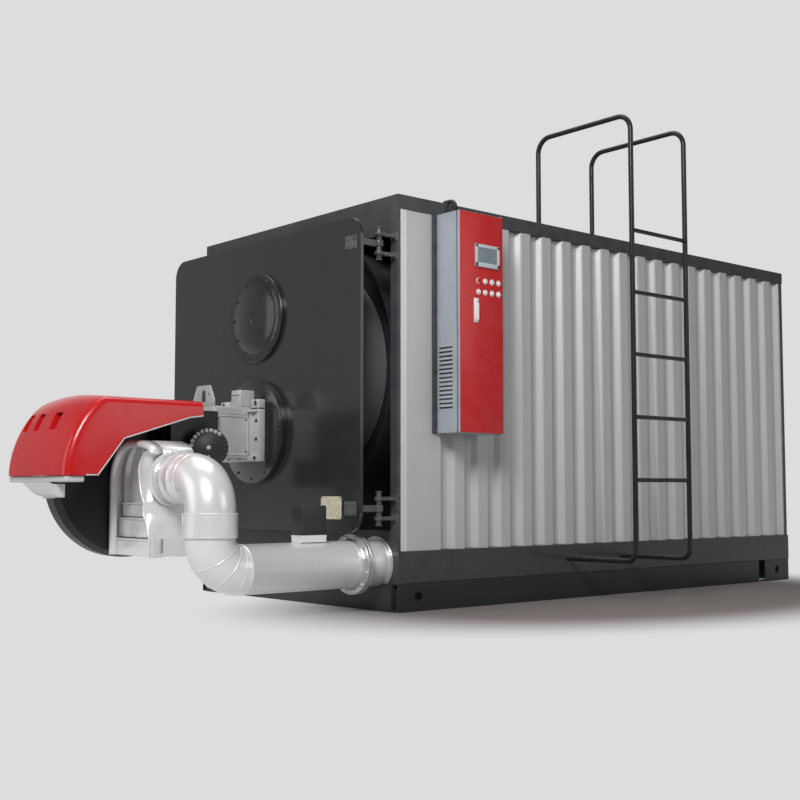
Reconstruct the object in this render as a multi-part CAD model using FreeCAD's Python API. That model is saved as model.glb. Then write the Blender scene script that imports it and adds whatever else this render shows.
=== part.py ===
import FreeCAD, Part
import math
import os

# Packaged gas-fired boiler in a walk-on steel casing.
# Millimetres. X to the right, Y to the back, Z up, origin on the ground at the
# centre of the base. "ahead" means in front of the casing, towards -Y.

# ---- casing
casing_width = 2230
casing_length = 4350
casing_height = 2600
post_depth = 60
post_width = 41
post_plate = 12
seam = 2

# ---- base frame
rail_height = 175
rail_flange = 55
rail_wall = 10
front_member_step = 12
end_member_depth = 88
cross_member_width = 110
cross_member_count = 5
corner_block_length = 348
corner_notch = 92
lifting_hole_radius = 31
lifting_hole_height = 90
lifting_hole_setback = 170

# ---- skirt, beams and panels
skirt_height = 197
skirt_proud = 4
top_beam_height = 90
header_height = 240
roof_thickness = 40
roof_drop = 10
lower_panel_top = 500
lower_panel_thickness = 20
panel_recess = 6
flat_zone = 366
rib_depth = 38
rib_pitch = 211.5
rib_crest = 94
rib_slope = 30
rib_last_crest = 12

# ---- pressure vessel
vessel_radius = 980
vessel_wall = 14
vessel_setback = 78
vessel_rear_gap = 260
tube_plate_setback = 240
tube_plate_thickness = 30
furnace_radius = 490
furnace_wall = 18
furnace_length = 2600
furnace_floor_gap = 53
end_plate_thickness = 30
saddle_half_width = 720
saddle_thickness = 40
saddle_inset = 300
fit_gap = 0.3

# ---- front door
door_face_ahead = 280
door_thickness = 24
door_half_width = 1090
door_bottom = 490
door_top = 2430
door_corner_radius = 120
lining_root_radius = 765
lining_tip_radius = 731
lining_gap = 6
mouth_gap = 25
hinge_pin_radius = 17
hinge_running_gap = 0.05
hinge_eye_radius = 27
hinge_pin_inset = 28
hinge_pin_ahead = 130
hinge_pin_length = 212
hinge_low = 637
hinge_high = 2269
lug_spacing = 120
lug_thickness = 22
arm_height = 40
arm_width = 34
arm_bite = 30
cover_radius = 300
cover_thickness = 35
cover_height = 1905
rating_plate_width = 205
rating_plate_height = 140
rating_plate_x = 810
rating_plate_z = 640
rating_plate_thickness = 4

# ---- burner
burner_height = 1137
disc_radius = 344
disc_thickness = 50
flange_half_width = 225
flange_low = 935
flange_thickness = 98
ear_width = 97
ear_rise = 50
head_half_width = 128
head_low = 955
head_high = 1290
head_end_ahead = 706
blast_tube_radius = 250
blast_tube_wall = 8
blast_tube_reach = 160
servo_width = 105
servo_depth = 117
servo_height = 118
servo_x = 15
servo_ahead = 388
bracket_thickness = 22
bracket_root_width = 256
bracket_top_width = 156
bracket_height = 135
bracket_shoulder = 38
bracket_hole_rise = 76
bracket_hole_radius = 24
bracket_small_radius = 10
bracket_small_x = 62
body_half_width = 180
body_low = 770
body_high = 1250
body_end_ahead = 1050
hood_half_width = 400
hood_bottom = 833
hood_nose_ahead = 1850
hood_shoulder_ahead = 1600
hood_shoulder_height = 1290
hood_back_ahead = 950
hood_back_top = 1290
hood_back_bottom = 1197
hood_knee_rear = 1046
hood_knee_rear_height = 1185
hood_knee_front = 1482
hood_knee_front_height = 1048
hood_heel_ahead = 1646
hood_corner_radius = 50
hood_bulge = 7
hood_belly_run = 0.16
hood_belly_rise = 0.58
tray_thickness = 38
tray_start_ahead = 1720
tray_inset = 15
tray_foot_half_width = 60
tray_foot_height = 100
tray_foot_depth = 70
tray_foot_bite = 25
fan_radius = 503
fan_axis_ahead = 1227
fan_axis_height = 841
fan_left = -147
fan_right = 20
fan_edge = -41
fan_edge_slope = 21
box_left = 20
box_right = 490
box_depth = 300
box_bottom = 358
box_top = 1047
regulator_radius = 122
regulator_thickness = 62
regulator_x = 300
regulator_ahead = 849
regulator_height = 1012
regulator_turn = 30
regulator_neck_radius = 52

# ---- flue gas recirculation duct
duct_radius = 145
duct_wall = 4
duct_edge_gap = 8
duct_height = 295
duct_flange_width = 41
duct_flange_thickness = 20
duct_flange_ahead = 207
gasket_gap = 5
stub_inside = 120
riser_ahead = 1211
elbow_radius_low = 190
elbow_radius_high = 178
elbow_axis_height = 813
collar_wall = 12.7
collar_bottom = 481
collar_top = 621
riser_seam = 20
damper_x = -10
damper_ahead = 422
damper_width = 110
damper_depth = 180
damper_height = 176
damper_stand = 40
damper_plate = 6

# ---- control cabinet
cabinet_front = 322
cabinet_width = 385
cabinet_bottom = 1105
cabinet_height = 1405
cabinet_reach = 220
cabinet_door_thickness = 24
cabinet_door_gap = 7
cabinet_wall = 3
cabinet_frame_thickness = 14
cabinet_frame_margin = 33
cabinet_pin_radius = 6
cabinet_pin_inset = 10
cabinet_pin_reach = 40
leaf_thickness = 4
leaf_reach = 40
leaf_edge = 2
door_end_gap = 1
screen_width = 215
screen_height = 146
screen_thickness = 12
screen_left = 131
screen_top = 200
button_radius = 19
button_length = 14
button_pitch_y = 60
button_pitch_z = 72
button_first_y = 162
button_drop = 89
button_rows = 2
button_columns = 4
handle_width = 40
handle_height = 155
handle_thickness = 22
handle_left = 120
handle_drop = 203
conduit_radius = 16
conduit_bend = 45
conduit_share = 0.33

# ---- ladder
ladder_standoff = 600
ladder_front = 1554
ladder_rear = 2145
ladder_tube_radius = 17.5
ladder_top = 3287
ladder_foot_inboard = 240
ladder_bottom = 278
ladder_bend = 110
ladder_low_bend = 70
rung_radius = 14
rung_first = 816
rung_pitch = 419
rung_count = 5

# ---- places worked out from the sizes above
half = casing_width / 2
front = -casing_length / 2
back = casing_length / 2
skirt_top = rail_height + skirt_height
beam_bottom = casing_height - top_beam_height
inner = half - post_depth
pin_x = half - hinge_pin_inset
pin_y = front - hinge_pin_ahead
door_front = front - door_face_ahead
door_back = door_front + door_thickness
vessel_front = front + vessel_setback
vessel_height = burner_height - furnace_radius - furnace_floor_gap + vessel_radius - vessel_wall
vessel_back = back - vessel_rear_gap
tube_plate_y = front + tube_plate_setback
hinge_heights = [hinge_low, hinge_high]
duct_x = inner - duct_radius - duct_edge_gap
duct_flange_radius = duct_radius + duct_flange_width


def v(x, y, z):
    return FreeCAD.Vector(x, y, z)


def box(x0, x1, y0, y1, z0, z1):
    """A block between two corners."""
    return Part.makeBox(x1 - x0, y1 - y0, z1 - z0, v(x0, y0, z0))


def rod(radius, start, end):
    """A round bar from one point to another."""
    run = end.sub(start)
    return Part.makeCylinder(radius, run.Length, start, run)


def tube(outer, wall, start, end):
    """A round tube from one point to another."""
    return rod(outer, start, end).cut(rod(outer - wall, start, end))


def prism(points, run):
    """A closed outline of points pushed along a vector."""
    return Part.Face(Part.makePolygon(points + [points[0]])).extrude(run)


def save(name, *solids):
    """One file for each named piece; it may hold like solids that don't touch."""
    shape = solids[0] if len(solids) == 1 else Part.makeCompound(list(solids))
    shape.exportStep("parts/" + name + ".step")


def mirrored(shape):
    return shape.mirror(v(0, 0, 0), v(1, 0, 0))


# ---- base frame

def side_rail(y0, y1, hole_y):
    """A channel that opens inwards, with a lifting hole through its web."""
    rail = box(half - rail_flange, half, y0, y1, 0, rail_height)
    hollow = box(half - rail_flange, half - rail_wall, y0, y1, rail_wall, rail_height - rail_wall)
    hole = rod(lifting_hole_radius, v(half - rail_flange, hole_y, lifting_hole_height),
               v(half + 1, hole_y, lifting_hole_height))
    return rail.cut(hollow).cut(hole)


def make_base():
    block_y = back - corner_block_length
    right = side_rail(front, block_y - corner_notch, front + lifting_hole_setback)
    block = side_rail(block_y, back, back - lifting_hole_setback)
    save("base_side_rails", right, mirrored(right), block, mirrored(block))
    edge = half - rail_flange
    member = box(-edge, edge, front - front_member_step, front + end_member_depth, 0, rail_height)
    scallop = rod(duct_radius + fit_gap, v(duct_x, front - front_member_step - 1, duct_height),
                  v(duct_x, front + end_member_depth + 1, duct_height))
    ends = [member.cut(scallop), box(-edge, edge, back - end_member_depth, back, 0, rail_height)]
    span = casing_length - 2 * end_member_depth
    step = span / (cross_member_count + 1)
    for k in range(cross_member_count):
        y = front + end_member_depth + step * (k + 1)
        ends.append(box(-edge, edge, y - cross_member_width / 2, y + cross_member_width / 2,
                        0, rail_height))
    save("base_cross_members", *ends)


# ---- casing

def make_skirts():
    side = box(inner, half + skirt_proud, front, back, rail_height, skirt_top)
    rear = box(-inner + seam, inner - seam, back - post_depth, back, rail_height, skirt_top)
    save("skirts", side, mirrored(side), rear)


def make_posts():
    """Front posts are angles round the panel's end, rear posts are square bars."""
    face = half - panel_recess
    plate = box(inner, face, front, front + post_plate, skirt_top, beam_bottom)
    leg = box(inner - post_plate, inner, front, front + post_depth, skirt_top, beam_bottom)
    angle = plate.fuse(leg).removeSplitter()
    bar = box(inner, face, back - post_width, back, skirt_top, beam_bottom)
    save("corner_posts", angle, mirrored(angle), bar, mirrored(bar))


def rib_outline(length, margin):
    """Points along a ribbed skin: how far along, and how deep behind its crests."""
    points = [(0, 0)]
    valley = rib_pitch - rib_crest - 2 * rib_slope
    along = margin
    while along + 2 * rib_slope + valley + rib_last_crest < length:
        points.append((along, 0))
        points.append((along + rib_slope, rib_depth))
        points.append((along + rib_slope + valley, rib_depth))
        points.append((along + 2 * rib_slope + valley, 0))
        along += rib_pitch
    points.append((length, 0))
    return points


def side_panel():
    """Ribbed outside, flat inside; it reaches from the front post to the rear post."""
    y0 = front + post_plate
    face = half - panel_recess
    length = casing_length - post_plate - post_width
    outline = rib_outline(length, flat_zone - post_plate)
    points = [v(face - depth, y0 + along, skirt_top) for along, depth in outline]
    points += [v(inner, y0 + length, skirt_top), v(inner, y0, skirt_top)]
    return prism(points, v(0, 0, beam_bottom - skirt_top))


def make_panels():
    right = side_panel()
    save("side_panel_right", right)
    save("side_panel_left", mirrored(right))
    length = 2 * inner
    margin = (length % rib_pitch + rib_crest) / 2
    outline = rib_outline(length, margin)
    face = back - panel_recess
    points = [v(-inner + along, face - depth, skirt_top) for along, depth in outline]
    points += [v(inner, back - post_depth, skirt_top), v(-inner, back - post_depth, skirt_top)]
    save("rear_panel", prism(points, v(0, 0, beam_bottom - skirt_top)))
    low = box(-inner, inner, front, front + lower_panel_thickness, rail_height, lower_panel_top)
    low = low.cut(box(-inner - 1, -inner + post_plate, front - 1, front + post_depth,
                      skirt_top, lower_panel_top + 1))
    low = low.cut(box(inner - post_plate, inner + 1, front - 1, front + post_depth,
                      skirt_top, lower_panel_top + 1))
    hole = rod(duct_radius + fit_gap, v(duct_x, front - 1, duct_height),
               v(duct_x, front + lower_panel_thickness + 1, duct_height))
    save("front_lower_panel", low.cut(hole))


def make_roof():
    side = box(inner, half, front, back, beam_bottom, casing_height)
    rear = box(-inner + seam, inner - seam, back - post_depth, back, beam_bottom, casing_height)
    save("top_beams", side, mirrored(side), rear)
    header_low = casing_height - header_height
    header = box(-inner, inner, front, front + post_depth, header_low, casing_height)
    for sign in (-1, 1):
        x = sign * (inner - post_plate / 2)
        header = header.cut(box(x - post_plate / 2, x + post_plate / 2, front - 1,
                                front + post_depth + 1, header_low - 1, beam_bottom))
    save("front_header", header)
    top = casing_height - roof_drop
    save("roof_panel", box(-inner, inner, front + post_depth, back - post_depth,
                           top - roof_thickness, top))


# ---- pressure vessel

def make_vessel():
    def at(y):
        return v(0, y, vessel_height)

    def low(y):
        return v(0, y, burner_height)

    save("vessel_shell", tube(vessel_radius, vessel_wall, at(vessel_front), at(vessel_back)))
    plate_radius = vessel_radius - vessel_wall - fit_gap
    plate_back = tube_plate_y + tube_plate_thickness
    furnace_hole = rod(furnace_radius + fit_gap, low(tube_plate_y - 1), low(plate_back + 1))
    save("tube_plate", rod(plate_radius, at(tube_plate_y), at(plate_back)).cut(furnace_hole))
    furnace_end = tube_plate_y + furnace_length
    furnace = tube(furnace_radius, furnace_wall, low(tube_plate_y), low(furnace_end))
    cap = rod(furnace_radius, low(furnace_end), low(furnace_end + furnace_wall))
    save("furnace_tube", furnace.fuse(cap).removeSplitter())
    save("vessel_end_plate", rod(plate_radius, at(vessel_back - end_plate_thickness), at(vessel_back)))
    stand_y = [vessel_front + saddle_inset, (vessel_front + vessel_back) / 2, vessel_back - saddle_inset]
    span = casing_length - 2 * end_member_depth
    step = span / (cross_member_count + 1)
    cut = rod(vessel_radius + fit_gap, at(front), at(back))
    top = vessel_height - math.sqrt(vessel_radius ** 2 - saddle_half_width ** 2)
    saddles = []
    for y in stand_y:
        nearest = round((y - front - end_member_depth) / step)
        member = min(max(nearest, 1), cross_member_count)
        centre = front + end_member_depth + step * member
        block = box(-saddle_half_width, saddle_half_width, centre - saddle_thickness / 2,
                    centre + saddle_thickness / 2, rail_height, top)
        saddles.append(block.cut(cut))
    save("vessel_saddles", *saddles)


# ---- front door and its hinges

def make_hinges():
    lugs = []
    arms = []
    for z in hinge_heights:
        pin = rod(hinge_pin_radius, v(pin_x, pin_y, z - hinge_pin_length / 2),
                  v(pin_x, pin_y, z + hinge_pin_length / 2))
        hinge = pin
        for sign in (-1, 1):
            middle = z + sign * lug_spacing / 2
            low = middle - lug_thickness / 2
            high = middle + lug_thickness / 2
            lug = box(pin_x - arm_width / 2, pin_x + arm_width / 2, pin_y, front, low, high)
            lug = lug.fuse(rod(hinge_eye_radius, v(pin_x, pin_y, low), v(pin_x, pin_y, high)))
            hinge = hinge.fuse(lug)
        lugs.append(hinge.removeSplitter())
        low = z - arm_height / 2
        high = z + arm_height / 2
        arm_end = min(pin_x - hinge_eye_radius, door_half_width - arm_bite)
        arm = box(arm_end, pin_x, door_back, pin_y, low, high)
        arm = arm.fuse(rod(hinge_eye_radius, v(pin_x, pin_y, low), v(pin_x, pin_y, high)))
        bore = rod(hinge_pin_radius + hinge_running_gap, v(pin_x, pin_y, low - 1),
                   v(pin_x, pin_y, high + 1))
        arms.append(arm.cut(bore).removeSplitter())
    save("door_hinge_lugs", *lugs)
    save("door_hinge_arms", *arms)


def upright_edges(shape, run):
    """Straight edges of a shape that lie along the given direction."""
    return [e for e in shape.Edges if abs(abs(e.tangentAt(e.FirstParameter).dot(run)) - 1) < 1e-6]


def make_door():
    plate = box(-door_half_width, door_half_width, door_front, door_back, door_bottom, door_top)
    plate = plate.makeFillet(door_corner_radius, upright_edges(plate, v(0, 1, 0)))
    throat = rod(blast_tube_radius + mouth_gap, v(0, door_front - 1, burner_height),
                 v(0, tube_plate_y + 1, burner_height))
    save("door_plate", plate.cut(throat))
    lining_end = tube_plate_y - lining_gap
    lining = Part.makeCone(lining_root_radius, lining_tip_radius, lining_end - door_back,
                           v(0, door_back, vessel_height), v(0, 1, 0))
    save("door_lining", lining.cut(throat))
    save("inspection_cover", rod(cover_radius, v(0, door_front - cover_thickness, cover_height),
                                 v(0, door_front, cover_height)))
    save("rating_plate", box(rating_plate_x - rating_plate_width / 2,
                             rating_plate_x + rating_plate_width / 2,
                             door_front - rating_plate_thickness, door_front,
                             rating_plate_z - rating_plate_height / 2,
                             rating_plate_z + rating_plate_height / 2))


# ---- burner

def hood_underside():
    """The line of the hood's lower edge, as distance ahead and height."""
    return [(hood_heel_ahead, hood_bottom), (hood_knee_front, hood_knee_front_height),
            (hood_knee_rear, hood_knee_rear_height), (hood_back_ahead, hood_back_bottom)]


def above_hood_line():
    """Everything over the hood's lower edge, to trim what goes up under it."""
    x = hood_half_width + 100
    over = casing_height
    line = [v(-x, front - ahead, z) for ahead, z in hood_underside()]
    far = front - hood_nose_ahead - 200
    points = [v(-x, far, hood_bottom)] + line
    points += [v(-x, front - hood_back_ahead, over), v(-x, far, over)]
    return prism(points, v(2 * x, 0, 0))


def make_hood():
    x = -hood_half_width
    nose = v(x, front - hood_nose_ahead, hood_bottom)
    shoulder = v(x, front - hood_shoulder_ahead, hood_shoulder_height)
    rise = hood_shoulder_height - hood_bottom
    run = hood_nose_ahead - hood_shoulder_ahead
    belly = v(x, front - hood_nose_ahead + hood_belly_run * run, hood_bottom + hood_belly_rise * rise)
    path = [v(x, front - hood_back_ahead, hood_back_top)]
    path += [v(x, front - ahead, z) for ahead, z in reversed(hood_underside())]
    path.append(nose)
    edges = [Part.LineSegment(a, b).toShape() for a, b in zip(path, path[1:])]
    edges.append(Part.Arc(nose, belly, shoulder).toShape())
    edges.append(Part.LineSegment(shoulder, path[0]).toShape())
    hood = Part.Face(Part.Wire(edges)).extrude(v(2 * hood_half_width, 0, 0))
    plan = box(x, -x, front - hood_nose_ahead - 2 * hood_corner_radius, front, 0, casing_height)
    brow = front - hood_nose_ahead - hood_bulge
    plan = plan.cut(box(x - 1, 1 - x, brow - 3 * hood_corner_radius, brow, -1, casing_height + 1))
    corners = [e for e in upright_edges(plan, v(0, 0, 1)) if e.CenterOfMass.y < brow + 1]
    save("burner_hood", hood.common(plan.makeFillet(hood_corner_radius, corners)))
    tray_x = hood_half_width - tray_inset
    low = hood_bottom - tray_thickness
    tray = box(-tray_x, tray_x, front - hood_nose_ahead + tray_inset, front - tray_start_ahead,
               low, hood_bottom)
    rim = front - fan_axis_ahead - fan_radius
    foot = box(-tray_foot_half_width, tray_foot_half_width, rim - tray_foot_depth, rim + tray_foot_bite,
               low - tray_foot_height, low)
    foot = foot.cut(rod(fan_radius + fit_gap, v(-casing_width, front - fan_axis_ahead, fan_axis_height),
                        v(casing_width, front - fan_axis_ahead, fan_axis_height)))
    save("hood_tray", tray.fuse(foot).removeSplitter())


def burner_body():
    y0 = front - body_end_ahead
    block = box(-body_half_width, body_half_width, y0, front - head_end_ahead, body_low, body_high)
    return block.cut(above_hood_line())


def make_fan():
    y = front - fan_axis_ahead
    edge = v(fan_edge, y, fan_axis_height)
    cone = Part.makeCone(fan_radius, fan_radius - fan_edge_slope, fan_right - fan_edge, edge, v(1, 0, 0))
    wheel = rod(fan_radius, v(fan_left, y, fan_axis_height), edge).fuse(cone)
    wheel = wheel.removeSplitter().cut(above_hood_line())
    keep = box(-casing_width, casing_width, front - body_end_ahead, 0, 0, casing_height)
    wheel = wheel.cut(keep)
    tray_low = hood_bottom - tray_thickness
    tray_x = hood_half_width
    wheel = wheel.cut(box(-tray_x, tray_x, front - hood_nose_ahead, front - tray_start_ahead,
                          tray_low, hood_bottom))
    save("fan_volute", wheel)


def make_burner():
    axis = v(0, door_front, burner_height)
    disc_front = door_front - disc_thickness
    ring = rod(disc_radius, v(0, disc_front, burner_height), axis)
    bore = rod(blast_tube_radius + fit_gap, v(0, disc_front - 1, burner_height),
               v(0, door_front + 1, burner_height))
    save("burner_mount_disc", ring.cut(bore))
    flange_front = disc_front - flange_thickness
    flange = box(-flange_half_width, flange_half_width, flange_front, disc_front,
                 flange_low, head_high)
    for x in (-flange_half_width, flange_half_width - ear_width):
        flange = flange.fuse(box(x, x + ear_width, flange_front, disc_front, head_high,
                                 head_high + ear_rise))
    head = box(-head_half_width, head_half_width, front - head_end_ahead, flange_front,
               head_low, head_high)
    save("burner_head", flange.fuse(head).removeSplitter())
    save("blast_tube", tube(blast_tube_radius, blast_tube_wall, v(0, disc_front, burner_height),
                            v(0, tube_plate_y + blast_tube_reach, burner_height)))
    save("servo_box", box(servo_x, servo_x + servo_width, front - servo_ahead - servo_depth,
                          front - servo_ahead, head_high, head_high + servo_height))
    save("burner_body", burner_body())


def make_bracket():
    """Lifting plate that stands across the head, with one large and two small holes."""
    y0 = front - head_end_ahead
    root = bracket_root_width / 2
    top = bracket_top_width / 2
    z0 = head_high
    z1 = head_high + bracket_height
    shoulder = z0 + bracket_shoulder
    points = [v(-root, y0, z0), v(root, y0, z0), v(root, y0, shoulder), v(top, y0, z1),
              v(-top, y0, z1), v(-root, y0, shoulder)]
    plate = prism(points, v(0, bracket_thickness, 0))
    middle = z0 + bracket_hole_rise
    for x, radius in ((0, bracket_hole_radius), (-bracket_small_x, bracket_small_radius),
                      (bracket_small_x, bracket_small_radius)):
        plate = plate.cut(rod(radius, v(x, y0 - 1, middle), v(x, y0 + bracket_thickness + 1, middle)))
    save("lifting_bracket", plate)


def make_regulator():
    turn = math.radians(regulator_turn)
    way = v(math.cos(turn), -math.sin(turn), 0)
    face = v(regulator_x, front - regulator_ahead, regulator_height)
    back_face = face.sub(v(way.x, way.y, 0).multiply(regulator_thickness))
    root = back_face.sub(v(way.x, way.y, 0).multiply(regulator_x))
    dish = rod(regulator_radius, back_face, face)
    neck = rod(regulator_neck_radius, root, back_face)
    behind = box(-casing_width, body_half_width, -casing_length, front, 0, casing_height)
    save("gas_regulator", dish.fuse(neck).removeSplitter().cut(behind))


def make_intake_box():
    """Sheet metal silencer box with an arched top and a dished front."""
    width = box_right - box_left
    crown = width / 2
    y0 = front - riser_ahead - box_depth / 2
    middle = box_left + crown
    spring = box_top - crown
    arch = Part.makeCylinder(crown, box_depth, v(middle, y0, spring), v(0, 1, 0))
    save("intake_box", box(box_left, box_right, y0, y0 + box_depth, box_bottom, spring)
         .fuse(arch).removeSplitter())


# ---- flue gas recirculation duct

def elbow(centre, axis, start):
    """A hollow quarter bend: a ring turned about an axis beside it."""
    outer = Part.Face(Part.Wire(Part.makeCircle(duct_radius, start[0], start[1])))
    hole = Part.Face(Part.Wire(Part.makeCircle(duct_radius - duct_wall, start[0], start[1])))
    return outer.revolve(centre, axis, 90).cut(hole.revolve(centre, axis, 90))


def make_duct():
    riser_y = front - riser_ahead
    joint_y = front - duct_flange_ahead + duct_flange_thickness
    low_y = riser_y + elbow_radius_low
    riser_joint = collar_bottom + riser_seam
    run = tube(duct_radius, duct_wall, v(duct_x, low_y, duct_height),
               v(duct_x, joint_y, duct_height))
    flange = tube(duct_flange_radius, duct_flange_radius - duct_radius + duct_wall,
                  v(duct_x, joint_y - duct_flange_thickness, duct_height),
                  v(duct_x, joint_y, duct_height))
    save("recirculation_pipe", run.fuse(flange).removeSplitter())
    seat_y = joint_y + gasket_gap
    stub = tube(duct_radius, duct_wall, v(duct_x, seat_y, duct_height),
                v(duct_x, front + stub_inside, duct_height))
    ring = tube(duct_flange_radius, duct_flange_radius - duct_radius + duct_wall,
                v(duct_x, seat_y, duct_height),
                v(duct_x, seat_y + duct_flange_thickness, duct_height))
    save("pipe_stub", stub.fuse(ring).removeSplitter())
    centre = v(duct_x, low_y, duct_height + elbow_radius_low)
    bend = elbow(centre, v(-1, 0, 0), (v(duct_x, low_y, duct_height), v(0, 1, 0)))
    if riser_joint > centre.z:
        bend = bend.fuse(tube(duct_radius, duct_wall, v(duct_x, riser_y, centre.z),
                              v(duct_x, riser_y, riser_joint))).removeSplitter()
    save("lower_elbow", bend)
    top_z = elbow_axis_height - elbow_radius_high
    centre = v(duct_x - elbow_radius_high, riser_y, top_z)
    bend = elbow(centre, v(0, -1, 0), (v(duct_x, riser_y, top_z), v(0, 0, 1)))
    low_end = max(riser_joint, duct_height + elbow_radius_low)
    rise = tube(duct_radius, duct_wall, v(duct_x, riser_y, low_end), v(duct_x, riser_y, top_z))
    reach = tube(duct_radius, duct_wall, v(box_right, riser_y, elbow_axis_height),
                 v(duct_x - elbow_radius_high, riser_y, elbow_axis_height))
    save("upper_elbow", rise.fuse(bend).fuse(reach).removeSplitter())
    save("duct_collar", tube(duct_radius + fit_gap + collar_wall, collar_wall,
                             v(duct_x, riser_y, collar_bottom), v(duct_x, riser_y, collar_top)))


def make_damper():
    x = duct_x + damper_x
    y1 = front - damper_ahead
    y0 = y1 - damper_depth
    base = duct_height + math.sqrt(duct_radius ** 2 - (damper_width / 2) ** 2)
    top = duct_height + duct_radius + damper_stand
    stand = box(x - damper_width / 2, x + damper_width / 2, y0, y1, base - damper_plate, top)
    stand = stand.cut(rod(duct_radius + fit_gap, v(duct_x, y0 - 1, duct_height),
                          v(duct_x, y1 + 1, duct_height)))
    hollow = box(x - damper_width / 2 - 1, x + damper_width / 2 + 1, y0 + damper_plate, y1 - damper_plate,
                 base - damper_plate - 1, top - damper_plate)
    save("damper_bracket", stand.cut(hollow))
    save("damper_actuator", box(x - damper_width / 2, x + damper_width / 2, y0, y1, top, top + damper_height))


# ---- control cabinet

def make_cabinet():
    wall = half - panel_recess
    y0 = front + cabinet_front
    y1 = y0 + cabinet_width
    z0 = cabinet_bottom
    z1 = cabinet_bottom + cabinet_height
    mount = wall + cabinet_frame_thickness
    save("cabinet_frame", box(wall, mount, y0 - cabinet_frame_margin, y1, z0, beam_bottom - seam))
    outer = half + cabinet_reach - cabinet_door_thickness - cabinet_door_gap
    body = box(mount, outer, y0, y1, z0, z1)
    body = body.cut(box(mount + cabinet_wall, outer + 1, y0 + cabinet_wall, y1 - cabinet_wall,
                        z0 + cabinet_wall, z1 - cabinet_wall))
    door_x0 = outer + cabinet_door_gap
    door_x1 = half + cabinet_reach
    axis_x = door_x0 + cabinet_pin_inset
    axis_y = y1 - cabinet_pin_inset
    # the leaves stand just outside the door's ends
    for low, pin_low, pin_high in ((z0 - leaf_thickness, z0 - leaf_thickness, z0 + cabinet_pin_reach),
                                   (z1, z1 - cabinet_pin_reach, z1 + leaf_thickness)):
        leaf = box(outer - leaf_reach, axis_x + cabinet_pin_radius + leaf_edge,
                   axis_y - cabinet_pin_radius - leaf_edge, y1, low, low + leaf_thickness)
        pin = rod(cabinet_pin_radius, v(axis_x, axis_y, pin_low), v(axis_x, axis_y, pin_high))
        body = body.fuse(leaf).fuse(pin)
    save("cabinet_body", body.removeSplitter())
    door = box(door_x0, door_x1, y0, y1, z0 + door_end_gap, z1 - door_end_gap)
    swung = [e for e in upright_edges(door, v(0, 0, 1)) if e.CenterOfMass.y > y1 - 1]
    bore = rod(cabinet_pin_radius + hinge_running_gap, v(axis_x, axis_y, z0 - 1), v(axis_x, axis_y, z1 + 1))
    save("cabinet_door_panel", door.makeFillet(cabinet_pin_inset, swung).cut(bore))
    make_controls(door_x1, y0, z1 - screen_top)


def make_controls(face, left, screen_high):
    """What stands on the cabinet door's face: screen, buttons and handle."""
    screen_low = screen_high - screen_height
    save("operator_screen", box(face, face + screen_thickness, left + screen_left,
                                left + screen_left + screen_width, screen_low, screen_high))
    buttons = []
    for row in range(button_rows):
        for column in range(button_columns):
            y = left + button_first_y + column * button_pitch_y
            z = screen_low - button_drop - row * button_pitch_z
            buttons.append(rod(button_radius, v(face, y, z), v(face + button_length, y, z)))
    save("push_buttons", *buttons)
    y = left + handle_left
    z = screen_low - handle_drop
    save("door_handle", box(face, face + handle_thickness, y, y + handle_width, z - handle_height, z))


def bent_tube(radius, points, bends):
    """A round bar along straight runs joined by tangent arcs."""
    edges = []
    start = points[0]
    for i in range(1, len(points) - 1):
        a, p, b = points[i - 1], points[i], points[i + 1]
        into = p.sub(a).normalize()
        out = b.sub(p).normalize()
        turn = math.acos(max(-1, min(1, into.dot(out))))
        back_off = bends[i - 1] * math.tan(turn / 2)
        first = p.sub(v(into.x, into.y, into.z).multiply(back_off))
        last = p.add(v(out.x, out.y, out.z).multiply(back_off))
        aim = out.sub(into).normalize()
        centre_gap = bends[i - 1] / math.cos(turn / 2)
        middle = p.add(v(aim.x, aim.y, aim.z).multiply(centre_gap - bends[i - 1]))
        edges.append(Part.LineSegment(start, first).toShape())
        edges.append(Part.Arc(first, middle, last).toShape())
        start = last
    edges.append(Part.LineSegment(start, points[-1]).toShape())
    path = Part.Wire(edges)
    way = points[1].sub(points[0])
    ring = Part.Wire(Part.makeCircle(radius, points[0], way))
    return path.makePipeShell([ring], True, False)


def make_ladder():
    rail_x = half + ladder_standoff
    foot_x = half - ladder_foot_inboard
    roof = casing_height - roof_drop
    rails = []
    for setback in (ladder_front, ladder_rear):
        y = front + setback
        points = [v(half + skirt_proud, y, ladder_bottom), v(rail_x, y, ladder_bottom),
                  v(rail_x, y, ladder_top), v(foot_x, y, ladder_top), v(foot_x, y, roof)]
        rails.append(bent_tube(ladder_tube_radius, points, [ladder_low_bend, ladder_bend, ladder_bend]))
    save("ladder_rail_front", rails[0])
    save("ladder_rail_rear", rails[1])
    rungs = []
    for k in range(rung_count):
        z = rung_first + k * rung_pitch
        rung = rod(rung_radius, v(rail_x, front + ladder_front, z), v(rail_x, front + ladder_rear, z))
        rungs.append(rung.cut(rails[0]).cut(rails[1]))
    save("ladder_rungs", *rungs)


def make_conduit():
    """Cable conduit from the cabinet's top over the roof edge."""
    z0 = cabinet_bottom + cabinet_height
    x0 = half + conduit_bend
    y = front + cabinet_front + conduit_share * cabinet_width
    top = casing_height + conduit_radius
    points = [v(x0, y, z0), v(x0, y, top), v(half - post_depth, y, top)]
    save("cable_conduit", bent_tube(conduit_radius, points, [conduit_bend]))


os.makedirs("parts", exist_ok=True)
make_base()
make_skirts()
make_posts()
make_panels()
make_roof()
make_vessel()
make_hinges()
make_door()
make_hood()
make_fan()
make_burner()
make_bracket()
make_regulator()
make_intake_box()
make_duct()
make_damper()
make_cabinet()
make_ladder()
make_conduit()
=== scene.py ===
import math

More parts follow.
